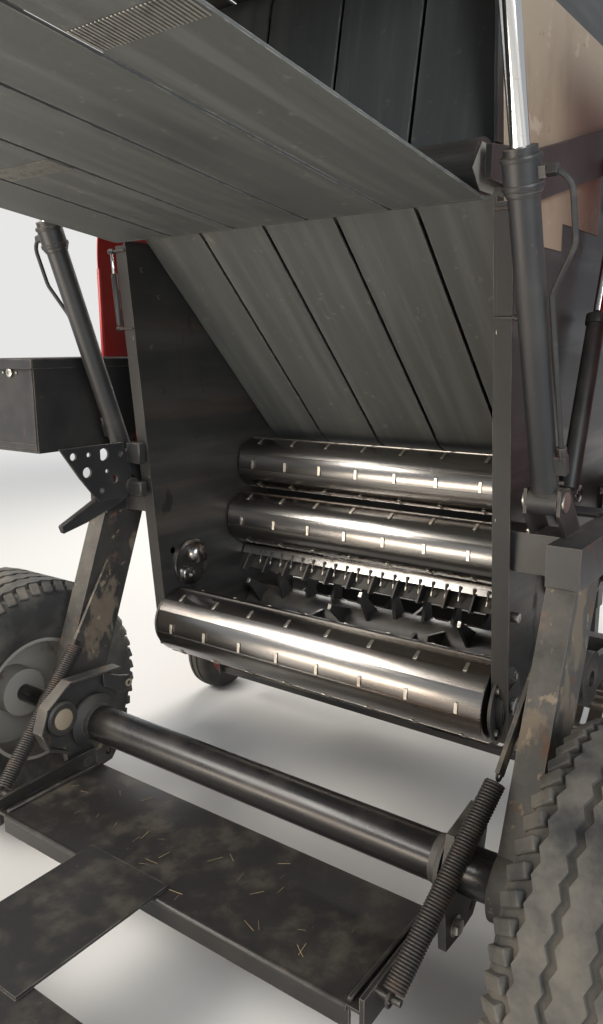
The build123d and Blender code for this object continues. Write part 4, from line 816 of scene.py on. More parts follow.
low_roll = (*raised(*GATE_ROLLS["low"]), 0.084 + HALF, 1)
rear_roll = (*raised(*GATE_ROLLS["rear"]), 0.06 + HALF, 1)
top_roll = (*raised(*GATE_ROLLS["top"]), 0.06 + HALF, 1)
rear_follower = (0.156, 1.998, 0.06 + HALF, 1)
take_up = (0.415, 2.5, 0.085 + HALF, -1)
front_follower = (0.325, 1.998, 0.06 + HALF, 1)
front_low = (0.99, 1.37, 0.104 + HALF, 1)
front_high = (0.98, 2.48, 0.075 + HALF, 1)
rise, rise_start, _ = runs([(*HINGE, HINGE_ROLL + HALF, 1), top_roll])[0]
hold_down = (
    rise_start[0] + HOLD_DOWN_AHEAD * math.cos(rise) + (HOLD_DOWN + HALF) * math.sin(rise),
    rise_start[1] + HOLD_DOWN_AHEAD * math.sin(rise) - (HOLD_DOWN + HALF) * math.cos(rise),
    HOLD_DOWN + HALF, -1,
)
print("each belt is", round(BELT_WIDTH, 4), "m wide")
print("the hold-down roll is", [round(value, 3) for value in hold_down])

# %% [markdown]
# A belt is laid like a real one: a short edge is extruded along each straight run and spun round each roll,
# and a Solidify modifier gives the thickness. A sweep along a curve would pinch at the small rolls, where
# spinning keeps the belt square. Two spans hang between the tailgate and the front half, so these are
# pieces of their own, cut across into short sections.

# %% Laying the belts
def laid(rolls, y, cuts=1, first_run=True, last_run=True):
    """One belt over the rolls, its middle at y."""
    spans = runs(rolls)
    begin = spans[0][1] if first_run else spans[0][2]
    origin = at(begin[0], y, begin[1])
    rest()
    bpy.ops.mesh.primitive_plane_add(size=BELT_WIDTH, location=origin)
    piece = settle()
    edit("VERT")
    bpy.ops.transform.resize(value=(0, 1, 1), center_override=origin)
    bpy.ops.mesh.remove_doubles(threshold=0.001)
    for index, (slope, start, end) in enumerate(spans):
        if (index or first_run) and (index < len(spans) - 1 or last_run):
            step = ((end[0] - start[0]) / cuts, 0, (end[1] - start[1]) / cuts)
            for _ in range(cuts):
                bpy.ops.mesh.extrude_region_move(TRANSFORM_OT_translate={"value": step})
        if index < len(spans) - 1:
            x, z, _, side = rolls[index + 1]
            turn = spans[index + 1][0] - slope
            while side * turn < 0:
                turn += side * 2 * math.pi
            steps = max(3, round(abs(turn) / math.radians(9)))
            bpy.ops.mesh.spin(steps=steps, angle=turn, center=at(x, y, z), axis=LEFT)
    bpy.ops.object.mode_set(mode="OBJECT")
    thick = piece.modifiers.new("thickness", "SOLIDIFY")
    thick.thickness = BELT
    thick.offset = 0
    bpy.ops.object.modifier_apply(modifier=thick.name)
    edit()
    turn_outwards()
    return piece


def belt_set(rolls, **how):
    """All five belts over the same rolls, the middle one laid and the others copied."""
    first = laid(rolls, 0, **how)
    others = [twin(first, Matrix.Translation(LEFT * (index * BELT_PITCH))) for index in (-2, -1, 1, 2)]
    return joined([first] + others)


front_path = [low_roll, rear_follower, take_up, front_follower, front_low, front_high, hold_down, top_roll]
front_set = belt_set(front_path, first_run=False, last_run=False)
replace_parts(finished(front_set, "belts_front_half", "frame", "belt_rubber", 30), "front_belts")
gate_path = [hold_down, top_roll, rear_roll, low_roll, rear_follower]
gate_set = belt_set(gate_path, first_run=False, last_run=False)
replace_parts(finished(gate_set, "belts_tailgate", "tailgate", "belt_rubber", 30), "gate_belts")

# %% The hanging spans
spans = (("roof", [low_roll, rear_follower], True), ("rise", [hold_down, top_roll], False))
for name, rolls, starts_on_gate in spans:
    span = take(belt_set(rolls, cuts=24))
    bpy.ops.object.shade_smooth_by_angle(angle=math.radians(30))
    span.name = f"belts_{name}_span"
    dress(span, "belt_rubber")
    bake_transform(span)
    if starts_on_gate:
        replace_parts(span, "hanging_belts")

# %% [markdown]
# ## Lacing on the belts
#
# An endless belt is a strip whose ends are joined by steel lacing: a row of short wire staples across the
# belt. The photograph shows one on the right-hand belt of the roof, as a pale band. One staple is a rounded
# bar, copied across the belt above and below. It has to follow the roof, so it is placed along the roof's
# run.

# %% Belt lacing
STAPLE = (0.064, 0.0042, 0.0022)
STAPLE_PITCH = 0.0082
STAPLES = 27
STAPLE_LIFT = 0.0042
LACED_AT = {-2: 0.547, -1: 0.2, 0: 0.42, 1: 0.72, 2: 0.3}
_, roof_start, roof_end = runs([low_roll, rear_follower])[0]
roof_run = Vector((roof_end[0] - roof_start[0], 0, roof_end[1] - roof_start[1]))
roof_lean = math.atan2(-roof_run.z, roof_run.x)
staple = block(STAPLE, (0, 0, 0), edge=0.0008)
lacing = []
for belt, share in LACED_AT.items():
    for step in range(STAPLES):
        across = belt * BELT_PITCH + (step - STAPLES // 2) * STAPLE_PITCH
        place = at(roof_start[0], across, roof_start[1]) + roof_run * share
        for lift in (STAPLE_LIFT, -STAPLE_LIFT):
            lean_in = Matrix.Rotation(roof_lean, 4, "Y") @ Matrix.Translation((0, 0, lift))
            lacing.append(twin(staple, Matrix.Translation(place) @ lean_in))
bpy.data.objects.remove(staple)
belt_lacing = joined(lacing)
belt_lacing.name = "belt_lacing"
dress(belt_lacing, "lacing_steel")
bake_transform(belt_lacing)
print("lacing:", len(belt_lacing.data.polygons), "faces")

# %% [markdown]
# ## The ramp's return springs
#
# A long close-wound spring on each side pulls the ramp back up. Its wire is one small circle turned by a
# Screw modifier, which gives real coils where a bump would look flat at the edges, and each end has a hook
# spun from the same wire. The spring stretches as the ramp drops.

# %% Coil springs
WIRE = 0.0036
COIL = 0.0212
HOOK = 0.0155
SPRING_LOW = (-0.335, 0.672, 0.312)
SPRING_HIGH = (0.031, 0.738, 0.665)


def wire_circle(place):
    """The wire's round section, standing in the XZ plane."""
    rest()
    bpy.ops.mesh.primitive_circle_add(vertices=8, radius=WIRE, location=place, rotation=(math.pi / 2, 0, 0))
    return settle()


def wound(start, end):
    """The coils between two points."""
    line = end - start
    turns = round(line.length / (2 * WIRE + 0.0002))
    coil = wire_circle((COIL, 0, 0))
    winding = coil.modifiers.new("winding", "SCREW")
    winding.axis = "Z"
    winding.screw_offset = line.length / turns
    winding.iterations = turns
    winding.steps = winding.render_steps = 18
    bpy.ops.object.modifier_apply(modifier=winding.name)
    coil.matrix_world = Matrix.Translation(start) @ facing(line)
    return settle()


def hooked(place):
    """A hook of the same wire round a pin that points to the left."""
    hook = wire_circle((HOOK, 0, 0))
    edit()
    bpy.ops.mesh.spin(steps=20, angle=math.radians(310), center=(0, 0, 0), axis=(0, 0, 1))
    bpy.ops.object.mode_set(mode="OBJECT")
    hook.matrix_world = Matrix.Translation(place) @ Matrix.Rotation(math.pi / 2, 4, "X")
    return settle()


for name, sign in SIDES:
    low = at(SPRING_LOW[0], sign * SPRING_LOW[1], SPRING_LOW[2])
    high = at(SPRING_HIGH[0], sign * SPRING_HIGH[1], SPRING_HIGH[2])
    line = (high - low).normalized()
    parts = [wound(low + line * 0.014, high - line * 0.02)]
    parts += [hooked(low - line * 0.002), hooked(high + line * 0.002)]
    spring = take(joined(parts))
    edit()
    bpy.ops.mesh.fill_holes(sides=8)
    turn_outwards()
    bpy.ops.object.shade_smooth()
    spring.name = f"return_spring_{name}"
    dress(spring, "spring_steel")
    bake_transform(spring)
    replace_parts(spring, f"ramp_spring_{name}")
    print(spring.name, "has", len(spring.data.polygons), "faces")

# %% [markdown]
# ## The tyres
#
# Road tyres of this kind have four zigzag ribs and sawtooth shoulders. The casing and each rib are profiles
# spun round the axle. Every other station of a rib is then pushed sideways, which turns the smooth ring
# into a zigzag. The shoulder is one lug, copied 52 times. A displaced texture could draw the tread too, but
# its edges would be soft, and the photograph shows them sharp against the light.

# %% Tyres
TYRE_Y = 1.08
STATIONS = 104
RIB_FOOT, RIB_TOP = 0.403, 0.4195
RIBS = ((-0.147, -0.086), (-0.072, -0.011), (0.003, 0.064), (0.078, 0.131))
ZIGZAG = 0.011
LUG_COUNT = 52
LUG = (0.03, 0.05, 0.034)
casing = [(0.216, -0.148), (0.232, -0.158), (0.262, -0.18), (0.3, -0.192), (0.34, -0.195), (0.372, -0.19)]
casing += [(0.394, -0.172), (0.404, -0.14), (0.409, -0.07), (0.41, 0)]
casing += [(radius, -height) for radius, height in reversed(casing[:-1])]


def zigzag_rib(centre, low, high):
    """One rib of the tread, its edges pushed sideways at every other station."""
    profile = [(RIB_FOOT, low), (RIB_TOP, low + 0.002), (RIB_TOP, high - 0.002), (RIB_FOOT, high)]
    rib = spun(profile, centre, LEFT, STATIONS)
    for vertex in rib.data.vertices:
        away = vertex.co - centre
        station = round(math.atan2(away.z, away.x) / (2 * math.pi) * STATIONS)
        vertex.select = station % 2 == 0
    for group in (rib.data.edges, rib.data.polygons):
        for item in group:
            item.select = False
    bpy.ops.object.mode_set(mode="EDIT")
    bpy.ops.mesh.select_mode(type="VERT")
    bpy.ops.transform.translate(value=(0, ZIGZAG, 0))
    bpy.ops.object.mode_set(mode="OBJECT")
    return rib


def shoulder(centre, side):
    """The ring of lugs on one shoulder."""
    place = centre + UP * 0.391 + LEFT * side * 0.163
    lug = block(LUG, place, (side * -0.62, 0, side * 0.35), 0.003)
    lugs = [twin(lug, around(centre, LEFT, 2 * math.pi * index / LUG_COUNT)) for index in range(LUG_COUNT)]
    bpy.data.objects.remove(lug)
    return lugs


for name, sign in SIDES:
    centre = at(0, sign * TYRE_Y, AXLE_Z)
    parts = [spun(casing, centre, LEFT, 96)] + [zigzag_rib(centre, low, high) for low, high in RIBS]
    parts += shoulder(centre, 1) + shoulder(centre, -1)
    tyre = finished(joined(parts), f"road_tyre_{name}", f"wheel_{name}", "tyre_rubber", 35)
    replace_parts(tyre, f"tyre_{name}")

# %% [markdown]
# ## Bolts
#
# One bolt head with its washer is modelled at the origin, pointing up. A list then gives each place, the
# direction that it points to, and its size. The heads could all show one shared mesh, but a piece has to
# travel with its body, so each copy has its own mesh and those on the same body become one piece.

# %% A bolt and how it is set
pattern = drum(1.0, 0.62, (0, 0, 0.41), UP, 6, 0.08)
pattern = joined([pattern, drum(1.28, 0.14, (0, 0, 0.05), UP, 20, 0.03)])


def bolts(name, body, spots, finish_name="zinc_bolt"):
    """Bolt heads at (place, direction, radius) spots, joined into one piece."""
    heads = []
    for place, direction, size in spots:
        heads.append(twin(pattern, Matrix.Translation(place) @ facing(direction) @ Matrix.Scale(size, 4)))
    return finished(joined(heads), name, body, finish_name, 30)


def ring(x, z, radius, count, first=0):
    """Places round a circle in the side view, each as (x, z)."""
    turns = [math.radians(first + 360 / count * index) for index in range(count)]
    return [(x + radius * math.cos(turn), z + radius * math.sin(turn)) for turn in turns]


# %% Bolts of the frame
BEARING_BOLTS = 0.084
GEARBOX = (1.364, 1.3)
GEARBOX_FRONT = 1.479
seats = [(x, z) for x, z, radius in TURNING_ROLLS.values()] + [ROTOR]
frame_spots = []
for name, sign in SIDES:
    out = LEFT * sign
    for seat_x, seat_z in seats:
        places = ring(seat_x, seat_z, BEARING_BOLTS, 4, 45)
        frame_spots += [(at(x, sign * 0.617, z), out, 0.0095) for x, z in places]
    for x, z in ((0.31, 0.75), (0.27, 1.2), (0.23, 1.65)):
        frame_spots.append((at(x, sign * WALL_OUTER, z), out, 0.009))
    for x, z in ((1.1, 1.15), (1.17, 1.15)):
        frame_spots.append((at(x, sign * 0.62, z), out, 0.009))
    for x, z in ((1.425, 1.1), (1.425, 1.06), (1.47, 1.04)):
        frame_spots.append((at(x, sign * 0.47, z), out, 0.012))
    for x in (0.31, 0.38):
        frame_spots.append((at(x, sign * 0.68, 1.17), UP, 0.012))
    for x, z, size in ((-0.05, 0.3, 0.02), (0.07, 0.5, 0.012), (-0.06, 0.49, 0.012)):
        frame_spots.append((at(x, sign * 0.68, z), out, size))
    for z in (1.12, 1.6, 2.06):
        frame_spots.append((at(1.38, sign * 0.96, z), out, 0.009))
for x in (-0.09, 0.09):
    for y in (-0.11, 0.11):
        frame_spots.append((at(GEARBOX[0] + x, y, 1.41), UP, 0.011))
frame_spots += [(at(GEARBOX_FRONT, y, z), AHEAD, 0.008) for y, z in ring(0, GEARBOX[1], 0.062, 6)]
bolts("frame_bolts", "frame", frame_spots)

# %% Wheel nuts and hub caps
hub_cap = [(0.0, 0.0), (0.052, 0.0), (0.052, 0.016), (0.044, 0.03), (0.02, 0.036), (0.0, 0.036)]
for name, sign in SIDES:
    nuts = [(at(x, sign * 1.112, z), LEFT * sign, 0.014) for x, z in ring(0, AXLE_Z, 0.125, 6)]
    bolts(f"wheel_nuts_{name}", f"wheel_{name}", nuts)
    cap = spun(hub_cap, at(0, sign * 1.153, AXLE_Z), LEFT * sign)
    finished(cap, f"hub_cap_{name}", f"wheel_{name}", "cast_grey")

# %% [markdown]
# ## Bearing housings and the covers inside the chamber
#
# Each roll ends in a flanged bearing outside the wall. Inside the left wall a round cover, a dome and a
# small boss have been polished by the crop, as the photograph shows beside the floor roll's end. The right
# wall is taken to be the same. All of them are turned shapes, so each is one profile spun round its axis.

# %% Bearing flanges
flange = [(0.0625, 0.0), (0.1, 0.0), (0.1, 0.008), (0.072, 0.01), (0.066, 0.026), (0.0625, 0.026)]
FLANGE_Y = WALL_OUTER + 0.0005
housings = []
for name, sign in SIDES:
    housings += [spun(flange, at(x, sign * FLANGE_Y, z), LEFT * sign, 40) for x, z in seats]
finished(joined(housings), "bearing_flanges", "frame", "cast_grey")

# %% Covers on the walls' inner faces
WALL_INNER = 0.6
cover_profile = [(0.0, 0.0), (0.082, 0.0), (0.082, 0.006), (0.076, 0.009), (0.05, 0.0095), (0.0, 0.0095)]
dome_profile = [(0.0, 0.0), (0.04, 0.0), (0.037, 0.014), (0.027, 0.024), (0.014, 0.0285), (0.0, 0.03)]
boss_profile = [
    (0.0, 0.0), (0.027, 0.0), (0.027, 0.014), (0.022, 0.018), (0.012, 0.018), (0.012, 0.01), (0.0, 0.01),
]
STUDS = ((0.26, 1.86), (0.33, 1.78), (0.29, 1.62), (0.47, 1.3))
for name, sign in SIDES:
    inward = LEFT * -sign
    cover = spun(cover_profile, at(0.43, sign * (WALL_INNER - 0.0002), 0.872), inward, 56)
    dome = spun(dome_profile, at(0.455, sign * 0.592, 0.9), inward, 40)
    boss = spun(boss_profile, at(0.4, sign * 0.592, 0.835), inward, 32)
    finished(joined([cover, dome, boss]), f"inner_cover_{name}", "frame", "roll_steel")
    studs = [(at(x, sign * WALL_INNER, z), inward, 0.007) for x, z in STUDS]
    bolts(f"wall_studs_{name}", "frame", studs, "chamber_steel")

# %% [markdown]
# ## Cylinders
#
# A lift cylinder ends in a screwed gland with a wiper ring, and its pins carry washers. The hoses are rigid
# parts of the frame file, so only their hex fittings and the grease nipple are added. The rings could be
# made upright and turned afterwards. Worked out once, the cylinder's own line places each of them at once.

# %% Cylinder details
LIFT_FOOT = (0.265, 1.26)
LIFT_Y = 0.73
LIFT_LEAN = math.radians(109.1)
ROD_EYE = 1.44
LIFT_LINE = Vector((math.cos(LIFT_LEAN), 0, math.sin(LIFT_LEAN)))
wiper = [(0.0206, -0.004), (0.0206, 0.01), (0.034, 0.01), (0.034, -0.004)]
for name, sign in SIDES:
    foot = at(LIFT_FOOT[0], sign * LIFT_Y, LIFT_FOOT[1])
    out = LEFT * sign
    gland = []
    for along, radius, depth in ((0.704, 0.0415, 0.012), (0.756, 0.0415, 0.01), (0.69, 0.035, 0.01)):
        gland.append(drum(radius, depth, foot + LIFT_LINE * along, LIFT_LINE, 40, 0.002))
    gland.append(spun(wiper, foot + LIFT_LINE * 0.766, LIFT_LINE, 40))
    gland.append(drum(0.0125, 0.022, foot + LIFT_LINE * 0.727 + out * 0.061, out, 6, 0.001))
    gland.append(drum(0.0125, 0.03, foot + LIFT_LINE * 0.126 + out * 0.044, LIFT_LINE, 6, 0.001))
    gland.append(drum(0.005, 0.016, foot + LIFT_LINE * 0.05 + out * 0.036, out, 12, 0.001))
    finished(joined(gland), f"cylinder_rings_{name}", f"lift_barrel_{name}", "frame_black")
    eye = at(LIFT_FOOT[0], 0, LIFT_FOOT[1]) + LIFT_LINE * ROD_EYE
    pin = drum(0.0148, 0.092, eye + out * 0.731, LEFT, 28, 0.002)
    washer = drum(0.026, 0.006, eye + out * 0.771, LEFT, 28, 0.001)
    small_steel([pin, washer], f"eye_pin_{name}", "tailgate")
    heads = [drum(0.025, 0.006, foot + out * (y - LIFT_Y), LEFT, 28, 0.001) for y in (0.683, 0.777)]
    small_steel(heads, f"foot_pin_washers_{name}", "frame")

# %% [markdown]
# ## Between the rolls
#
# Under the starter roll a bright flat bar scrapes off what the belts bring down, with a row of short teeth
# below it. Behind it stand the slanted scraper plates, and the rotor's tips flash between them where hay
# keeps them bare. The bar's lip leans back, so that it catches the light as in the photograph. The teeth
# could come from an Array modifier. Placed by its number, a tooth and its bare tip stay together.

# %% Scraper bar, plates and rotor tips
TOOTH_COUNT, TOOTH_PITCH = 24, 0.048
PLATE_COUNT, PLATE_PITCH = 13, 0.092
scraper = at(0.755, 0, 0.868)
strip = block((0.056, ROLL_LENGTH, 0.003), scraper + UP * 0.0078, (0, math.radians(-12), 0), 0.001)
lip = block((0.004, ROLL_LENGTH, 0.037), at(0.7215, 0, 0.862), (0, 0.5, 0), 0.0012)
finished(joined([strip, lip]), "scraper_face", "frame", "roll_steel")
tips = []
plates = []
for index in range(TOOTH_COUNT):
    y = (index - (TOOTH_COUNT - 1) / 2) * TOOTH_PITCH
    plates.append(block((0.006, 0.006, 0.036), at(0.709, y, 0.838), (0, 0.25, 0), 0.0015))
    tips.append(block((0.007, 0.007, 0.017), at(0.7055, y, 0.8265), (0, 0.25, 0), 0.0018))
blade = [(0.66, 0.8), (0.695, 0.848), (0.745, 0.856), (0.735, 0.84), (0.7, 0.8), (0.685, 0.792)]
for index in range(PLATE_COUNT):
    y = (index - PLATE_COUNT // 2) * PLATE_PITCH
    plates.append(plate(blade, y - 0.004, y + 0.004))
small_steel(tips, "scraper_tips", "frame")
backing = block((0.004, 1.188, 0.092), at(0.732, 0, 0.829), (0, math.radians(46), 0), 0.001)
baffle = block((0.005, 1.198, 0.09), at(0.872, 0, 1.068), (0, math.radians(10), 0), 0.001)
finished(joined(plates + [backing, baffle]), "scraper_plates", "frame", "frame_black")

# %% Bare tips of the feed rotor
STAR_COUNT, STAR_PITCH, STAR_TURN = 12, 0.096, 20
tips = []
axis = at(ROTOR[0], 0, ROTOR[1])
for star in range(STAR_COUNT):
    y = (star - (STAR_COUNT - 1) / 2) * STAR_PITCH
    tip = block((0.005, 0.0136, 0.021), axis + Vector((0.1925, y, 0.016)), (0, -0.36, 0), 0.0015)
    for arm in range(4):
        tips.append(twin(tip, around(axis, LEFT, -math.radians(STAR_TURN * star + 90 * arm))))
    bpy.data.objects.remove(tip)
small_steel(tips, "rotor_tips", "feed_rotor")

# %% [markdown]
# ## The wheel brackets beside the ramp
#
# Above the ramp's pivot the left side has a heavy plate bracket with a rim bent round its edge, a large pin
# with a pale worn cap, and a lug with a hole. The rim follows the bracket's outline, one flat bar for each
# straight run. Holes are cut by a Boolean modifier, because a bored hole is the one thing that extruding
# can't give.

# %% Boring holes
def bored(piece, holes, depth=0.2):
    """Cuts round holes of (place, radius) through a piece, from side to side."""
    cutter = joined([drum(radius, depth, place, LEFT, 24, 0) for place, radius in holes])
    take(piece)
    cut = piece.modifiers.new("holes", "BOOLEAN")
    cut.operation = "DIFFERENCE"
    cut.object = cutter
    bpy.ops.object.modifier_apply(modifier=cut.name)
    bpy.data.objects.remove(cutter)
    return piece


# %% Left axle bracket
PIVOT = (-0.125, 0.475)
rim = [(0.1, 0.575), (-0.1, 0.59), (-0.19, 0.53), (-0.215, 0.46), (-0.19, 0.4), (-0.125, 0.365)]
parts = []
for (x1, z1), (x2, z2) in zip(rim, rim[1:]):
    long = math.hypot(x2 - x1, z2 - z1)
    middle = at((x1 + x2) / 2, 0.642, (z1 + z2) / 2)
    parts.append(block((long + 0.008, 0.046, 0.009), middle, (0, math.atan2(z1 - z2, x2 - x1), 0), 0.002))
parts.append(plate(rim + [(-0.06, 0.37), (0.04, 0.5), (0.1, 0.52)], 0.659, 0.669))
lug = [
    (0.05, 0.565), (0.05, 0.52), (0.125, 0.47), (0.165, 0.475), (0.175, 0.5), (0.16, 0.522), (0.12, 0.535),
]
parts.append(plate(lug, 0.646, 0.658))
collar = [
    (0.0, 0.0), (0.056, 0.0), (0.056, 0.012), (0.05, 0.018), (0.036, 0.018), (0.036, 0.012), (0.0, 0.012),
]
parts.append(spun(collar, at(PIVOT[0], 0.65, PIVOT[1]), -LEFT, 40))
finished(joined(parts), "bracket_rim", "frame", "frame_black")
worn = [
    (0.0, 0.0), (0.034, 0.0), (0.034, 0.008), (0.03, 0.011), (0.006, 0.011), (0.004, 0.007), (0.0, 0.007),
]
cap = spun(worn, at(PIVOT[0], 0.64, PIVOT[1]), -LEFT, 36)
eyelet = [(0.0075, 0.0), (0.0135, 0.0), (0.0135, 0.004), (0.0075, 0.004)]
eye = spun(eyelet, at(0.155, 0.646, 0.498), -LEFT, 24)
finished(joined([cap, eye]), "pivot_cap", "frame", "tan_liner")

# %% Axle collars and bracket feet
sleeve = [(0.0, 0.0), (0.09, 0.0), (0.09, 0.01), (0.062, 0.022), (0.0585, 0.04), (0.0, 0.04)]
toe = [(-0.02, 0.36), (0.1, 0.37), (0.11, 0.3), (0.07, 0.25), (0.02, 0.245)]
for name, sign in SIDES:
    collar = spun(sleeve, at(0, sign * 0.648, AXLE_Z), LEFT * -sign, 48)
    finished(collar, f"axle_collar_{name}", "frame", "frame_black")
    foot = plate(toe, sign * 0.66 - 0.012, sign * 0.66 + 0.012)
    bored(foot, [(at(0.055, sign * 0.66, 0.285), 0.012)])
    finished(foot, f"bracket_foot_{name}", "frame", "muddy_frame")

# %% [markdown]
# ## Plates and lever of the left side
#
# The photograph looks past the left wall at a drilled bracket plate and a flat pointed lever below it. Each
# side also has a thin gas strut higher up, between two brackets on the wall's rear flange. Boxes could be
# joined to such plates, but their slanted corners are what one sees, so each is cut to its own outline.

# %% Drilled plate
PLATE_Y = 0.668
outline = [
    (-0.05, 1.318), (0.2, 1.318), (0.232, 1.25), (0.235, 1.16), (0.2, 1.13), (0.09, 1.135), (0.02, 1.22),
]
holes = [
    (0.0, 1.29, 0.012), (0.05, 1.235, 0.017), (0.12, 1.285, 0.02), (0.105, 1.17, 0.009),
    (0.06, 1.29, 0.008), (0.16, 1.2, 0.013), (0.13, 1.23, 0.007), (0.19, 1.28, 0.01),
]
bracket = plate(outline, PLATE_Y - 0.004, PLATE_Y + 0.004)
bored(bracket, [(at(x, PLATE_Y, z), radius) for x, z, radius in holes])
ties = []
for z, depth in ((1.28, 0.07), (1.16, 0.05)):
    ties.append(block((0.03, 0.062, depth), at(0.234, 0.64, z), edge=0.004))
finished(joined([bracket] + ties), "drilled_plate", "frame", "frame_black")

# %% Pointed lever
outline = [
    (0.26, 1.17), (0.235, 1.2), (0.18, 1.185), (0.02, 1.112), (-0.055, 1.078), (-0.045, 1.052),
    (0.05, 1.072), (0.16, 1.105), (0.24, 1.135),
]
lever = plate(outline, 0.676, 0.694, 0.004)
boss = drum(0.028, 0.05, at(0.232, 0.682, 1.168), LEFT, 32)
finished(joined([lever, boss]), "lock_lever", "frame", "frame_black")
bolts("plate_bolts", "frame", [
    (at(0.232, 0.708, 1.168), LEFT, 0.012),
    (at(0.1, 0.672, 1.255), LEFT, 0.009),
    (at(0.16, 0.672, 1.15), LEFT, 0.009),
])

# %% Gas struts
STRUT_Y = 0.664
for name, sign in SIDES:
    low, high = at(0.216, sign * STRUT_Y, 1.68), at(0.195, sign * STRUT_Y, 1.915)
    line = (high - low).normalized()
    parts = [drum(0.0095, 0.16, low + line * 0.09, line, 24, 0.002)]
    for point in (low, high):
        parts.append(block((0.052, 0.062, 0.006), point + Vector((0.022, -sign * 0.029, 0)), edge=0.001))
        parts.append(drum(0.008, 0.022, point, LEFT, 20, 0.002))
    finished(joined(parts), f"gas_strut_{name}", "frame", "frame_black")
    rod = drum(0.0045, 0.1, high - line * 0.045, line, 16, 0.001)
    finished(rod, f"strut_rod_{name}", "frame", "rod_chrome")

# %% [markdown]
# ## Dusty sheet and tension gear outside the walls
#
# Outside the right wall hay dust cakes on the upper sheet, pale tan beside the black frame. It could be a
# layer of the sheet's finish, but it ends in a clear edge, so it is a thin plate of its own. On each side a
# ram holds the tension arm. Its foot stands on the side beam, and its bars follow the line to the arm.

# %% Caked sheet
outline = [(0.24, 1.86), (0.62, 1.86), (0.62, 1.93), (0.93, 1.93), (0.93, 2.42), (0.3, 2.42), (0.2, 2.2)]
caked = plate(outline, -0.6107, -0.6083, 0.0006)
finished(caked, "caked_sheet", "frame", "tan_liner")

# %% Tension rams
for name, sign in SIDES:
    foot, head = at(0.62, sign * 0.665, 1.2), at(0.97, sign * 0.655, 2.12)
    line = (head - foot).normalized()
    parts = [drum(0.026, 0.5, foot + line * 0.28, line, 32)]
    parts.append(drum(0.031, 0.03, foot + line * 0.52, line, 32))
    parts.append(block((0.09, 0.162, 0.012), at(0.62, sign * 0.685, 1.172), edge=0.003))
    parts.append(block((0.05, 0.03, 0.07), foot, edge=0.004))
    parts.append(block((0.05, 0.04, 0.05), head, edge=0.006))
    parts.append(drum(0.011, 0.05, head - LEFT * sign * 0.02, LEFT, 20))
    finished(joined(parts), f"tension_ram_{name}", "frame", "frame_black")
    rod = drum(0.014, (head - foot).length - 0.55, (foot + line * 0.54 + head) / 2, line, 28, 0.001)
    finished(rod, f"tension_rod_{name}", "frame", "rod_chrome")

# %% [markdown]
# ## The followers' end plates
#
# The pinch rollers at the top of the chamber end in pale kite-shaped plates with one bolt each. They sit
# between the belts' edge and the wall, so they are only 2 mm thick. A solid box cut to shape would do too,
# but an outline pulled to its thickness gives all the corners in one step.

# %% Kite plates
KITE_Y = 0.5975
outline = [(0.085, 1.985), (0.13, 2.045), (0.2, 2.04), (0.235, 1.99), (0.19, 1.945), (0.125, 1.945)]
for name, sign in SIDES:
    kite = plate(outline, sign * KITE_Y - 0.001, sign * KITE_Y + 0.001, 0.0005)
    finished(kite, f"follower_plate_{name}", "frame", "rim_paint")
    bolt_place = at(0.176, sign * (KITE_Y + 0.001), 2.018)
    bolts(f"follower_bolt_{name}", "frame", [(bolt_place, LEFT * sign, 0.008)])

# %% [markdown]
# ## The box, its lid and its lock
#
# The dark tool box on the left has a folded lid with a lip on three sides, a folded edge and a strap on its
# rear face, and a small round lock between two rivets. The frame file has the closed box already, so only
# what the folded sheet adds is modelled, as thin rounded blocks along its edges.

# %% Tool box
BOX = (0.195, 0.93)
BOX_REAR = -0.0115
lid = block((0.424, 0.234, 0.012), at(BOX[0], BOX[1], 1.584), edge=0.004)
lip = block((0.006, 0.234, 0.03), at(-0.0185, BOX[1], 1.572), edge=0.0015)
lip_in = block((0.424, 0.006, 0.03), at(BOX[0], 0.8155, 1.572), edge=0.0015)
lip_out = block((0.424, 0.006, 0.03), at(BOX[0], 1.0445, 1.572), edge=0.0015)
fold = block((0.004, 0.012, 0.26), at(BOX_REAR, 0.832, 1.425), edge=0.001)
strap = block((0.004, 0.19, 0.02), at(BOX_REAR, BOX[1], 1.31), edge=0.001)
finished(joined([lid, lip, lip_in, lip_out, fold, strap]), "box_lid", "frame", "frame_black")
barrel = [
    (0.0, 0.0), (0.015, 0.0), (0.015, 0.005), (0.011, 0.008), (0.004, 0.008), (0.004, 0.005), (0.0, 0.005),
]
lock = spun(barrel, at(-0.012, 0.94, 1.545), -AHEAD, 28)
rivets = [drum(0.004, 0.006, at(-0.013, y, 1.545), AHEAD, 12, 0.001) for y in (0.905, 0.975)]
small_steel([lock] + rivets, "box_lock", "frame")

# %% [markdown]
# ## Side shields
#
# The doors over the drives are pressed red sheet: long swages stiffen them, slots let dust out low down,
# and a black handle in a cup latches each one. The slots are black strips laid on the sheet, painted shade
# where the openings are. A swage is two ridges with a raised band between them. It
# could be pressed into the door's own mesh, but laid on the sheet it looks the same and costs few faces.

